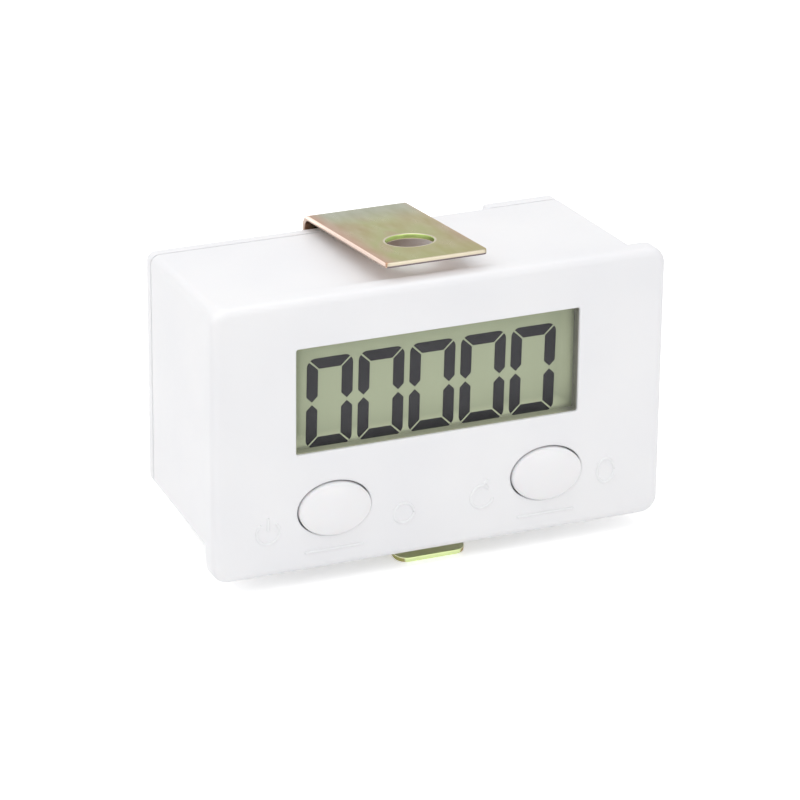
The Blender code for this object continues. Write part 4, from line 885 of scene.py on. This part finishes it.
inside = [
    ("dull_white_moulding", (0.74, 0.74, 0.71), (0.8, 0.8, 0.77), (0.5, 0.6), 300, {},
     ["lcd_holder", "battery_tube"]),
    ("striped_rubber", (0.03, 0.03, 0.035), (0.16, 0.16, 0.17), (0.7, 0.85), 2500,
     {"height": 0.00001, "stretch": (1, 0.02, 0.02)}, ["zebra_strip_upper", "zebra_strip_lower"]),
    ("green_solder_mask", (0.02, 0.14, 0.06), (0.06, 0.26, 0.11), (0.25, 0.4), 420,
     {"height": 0.00001, "stretch": (1, 1, 0.15)}, ["circuit_board"]),
    ("black_resin", (0.012, 0.012, 0.014), (0.03, 0.03, 0.03), (0.15, 0.3), 600, {}, ["controller_chip"]),
    ("switch_plastic", (0.03, 0.03, 0.032), (0.055, 0.055, 0.055), (0.4, 0.55), 900, {},
     ["power_switch", "reset_switch", "power_plunger", "reset_plunger"]),
    ("can_metal", (0.5, 0.5, 0.49), (0.66, 0.65, 0.63), (0.25, 0.4), 800,
     {"stretch": (0.2, 1, 1), "Metallic": 1.0}, ["crystal"]),
    ("dark_sleeve", (0.02, 0.022, 0.06), (0.05, 0.055, 0.12), (0.3, 0.45), 500, {}, ["capacitor"]),
    ("brushed_nickel", (0.52, 0.5, 0.46), (0.66, 0.64, 0.6), (0.25, 0.38), 900,
     {"stretch": (1, 0.1, 1), "Metallic": 1.0}, ["battery_cell", "battery_spring", "battery_side_contact"]),
    ("turned_brass", (0.55, 0.39, 0.15), (0.7, 0.52, 0.24), (0.25, 0.4), 1200,
     {"stretch": (0.2, 1, 0.2), "Metallic": 1.0}, [f"terminal_post_{k}" for k in range(1, 5)]),
]
dressed = [(simple_finish(name, low, high, gloss, scale, **more), nodes)
           for name, low, high, gloss, scale, more, nodes in inside]
dressed.append((PLATED, ["clamp_nut", "board_screw_left", "board_screw_right"]))
for finish, nodes in dressed:
    for node in nodes:
        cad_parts[node].data.materials.clear()
        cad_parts[node].data.materials.append(finish)
print("finished inside pieces:", sum(len(nodes) for finish, nodes in dressed))

# %% [markdown]
# ## Floor and light
# The portrait stands on white paper in a soft light tent. The floor is a large sheet that curves up far
# behind and keeps the counter's shadow. Camera rays see it a little brighter than the lamps make it,
# which takes it to paper white without any more light on the counter.

# %% A paper floor that keeps the shadow
# In metres. Past FLAT it rises along an ellipse: RISE * (1 - sqrt(1 - ((run - FLAT) / ROOM) ^ 2)).
FLAT, ROOM, RISE = 1.2, 1.25, 0.9
run, side = np.linspace(-1.6, 2.4, 60), np.linspace(-2.5, 2.5, 12)
height = RISE * (1 - np.sqrt(1 - (np.maximum(run - FLAT, 0) / ROOM) ** 2))
sheet = np.stack(np.broadcast_arrays(side[None, :], run[:, None], height[:, None]), axis=2)
points, quads = skin(sheet, closed=False)
mesh = bpy.data.meshes.new("paper_floor")
mesh.from_pydata(points.tolist(), [], quads.tolist())
mesh.shade_smooth()
floor = into_scene("paper_floor", mesh)

PAPER = new_finish("white_paper", Roughness=0.9, Emission_Color=(1, 1, 1, 1))
colour_from(PAPER, grain(PAPER, 400), [(0.3, (0.9, 0.9, 0.9)), (0.7, (0.92, 0.92, 0.92))])


def seen_directly(owner, socket, light, background, shader="Principled BSDF"):
    """The socket is background for camera, glossy and transmission rays, and light for all others."""
    rays = add(owner, "LightPath", {}).outputs
    direct = joined(owner, "ADD", rays["Is Camera Ray"], rays["Is Glossy Ray"])
    direct = joined(owner, "ADD", direct, rays["Is Transmission Ray"])
    feed(owner, socket, spread(owner, direct, 0.0, 1.0, light, background), shader)


seen_directly(PAPER, "Emission Strength", light=0.0, background=0.46)
mesh.materials.append(PAPER)
print("floor:", len(mesh.polygons), "faces")

# %% [markdown]
# A tent lights from all round, most from above. So the world gives an even base, one wide lamp hangs
# overhead and to the left, and a small one in front keeps the face bright. At their levels white plastic
# comes out just below paper white.

# %% The tent and two lamps
world = bpy.data.worlds.new("light_tent")
bpy.context.scene.world = world
world.use_nodes = True
world.node_tree.nodes["Background"].inputs["Color"].default_value = (1, 1, 1, 1)
seen_directly(world, "Strength", light=0.61, background=1.0, shader="Background")


def stand(name, data, place, axes):
    """Puts a lamp or camera at a place, with its x, y and z along the three axes."""
    made = into_scene(name, data)
    made.matrix_world = Matrix.Translation(place) @ Matrix(np.column_stack(axes).tolist()).to_4x4()
    return made


def soft_lamp(name, place, size, power):
    """A square area lamp that faces the middle of the counter, 20 mm over the floor."""
    data = bpy.data.lights.new(name, "AREA")
    data.shape, data.size, data.energy = "SQUARE", size, power
    back = np.asarray(place, float) - (0, 0, 0.02)
    back /= np.linalg.norm(back)
    right = np.cross((0.0, 1.0, 0.001), back)
    right /= np.linalg.norm(right)
    stand(name, data, place, [right, np.cross(back, right), back])
    print(f"lamp {name}: {power} W, {size} m wide, at {place}")


soft_lamp("overhead", (-0.24, -0.04, 0.68), size=1.0, power=3.85)
soft_lamp("front_fill", (0.25, -0.75, 0.28), size=0.5, power=0.95)

# %% [markdown]
# ## The camera
# The photograph was taken from the left and above with a long lens. Its view was found by matching the
# flange's corners, so the camera is written down as angles, a place and a lens.

# %% A long lens from the left
azimuth, elevation, roll = (math.radians(a) for a in (-23.415, 22.722, 0.574))
back = np.array([math.sin(azimuth) * math.cos(elevation), -math.cos(azimuth) * math.cos(elevation),
                 math.sin(elevation)])
right = np.array([math.cos(azimuth), math.sin(azimuth), 0.0])
up = np.cross(back, right)
rolled = [right * math.cos(roll) + up * math.sin(roll), up * math.cos(roll) - right * math.sin(roll), back]
camera_data = bpy.data.cameras.new("portrait")
camera_data.lens, camera_data.sensor_width, camera_data.clip_end = 190.14, 36.0, 20.0
place = to_frame([-193.562, -433.879, 201.001])
bpy.context.scene.camera = stand("portrait", camera_data, place, rolled)
bpy.context.scene.view_settings.view_transform = "Standard"
print("camera at", place.round(4), "m")
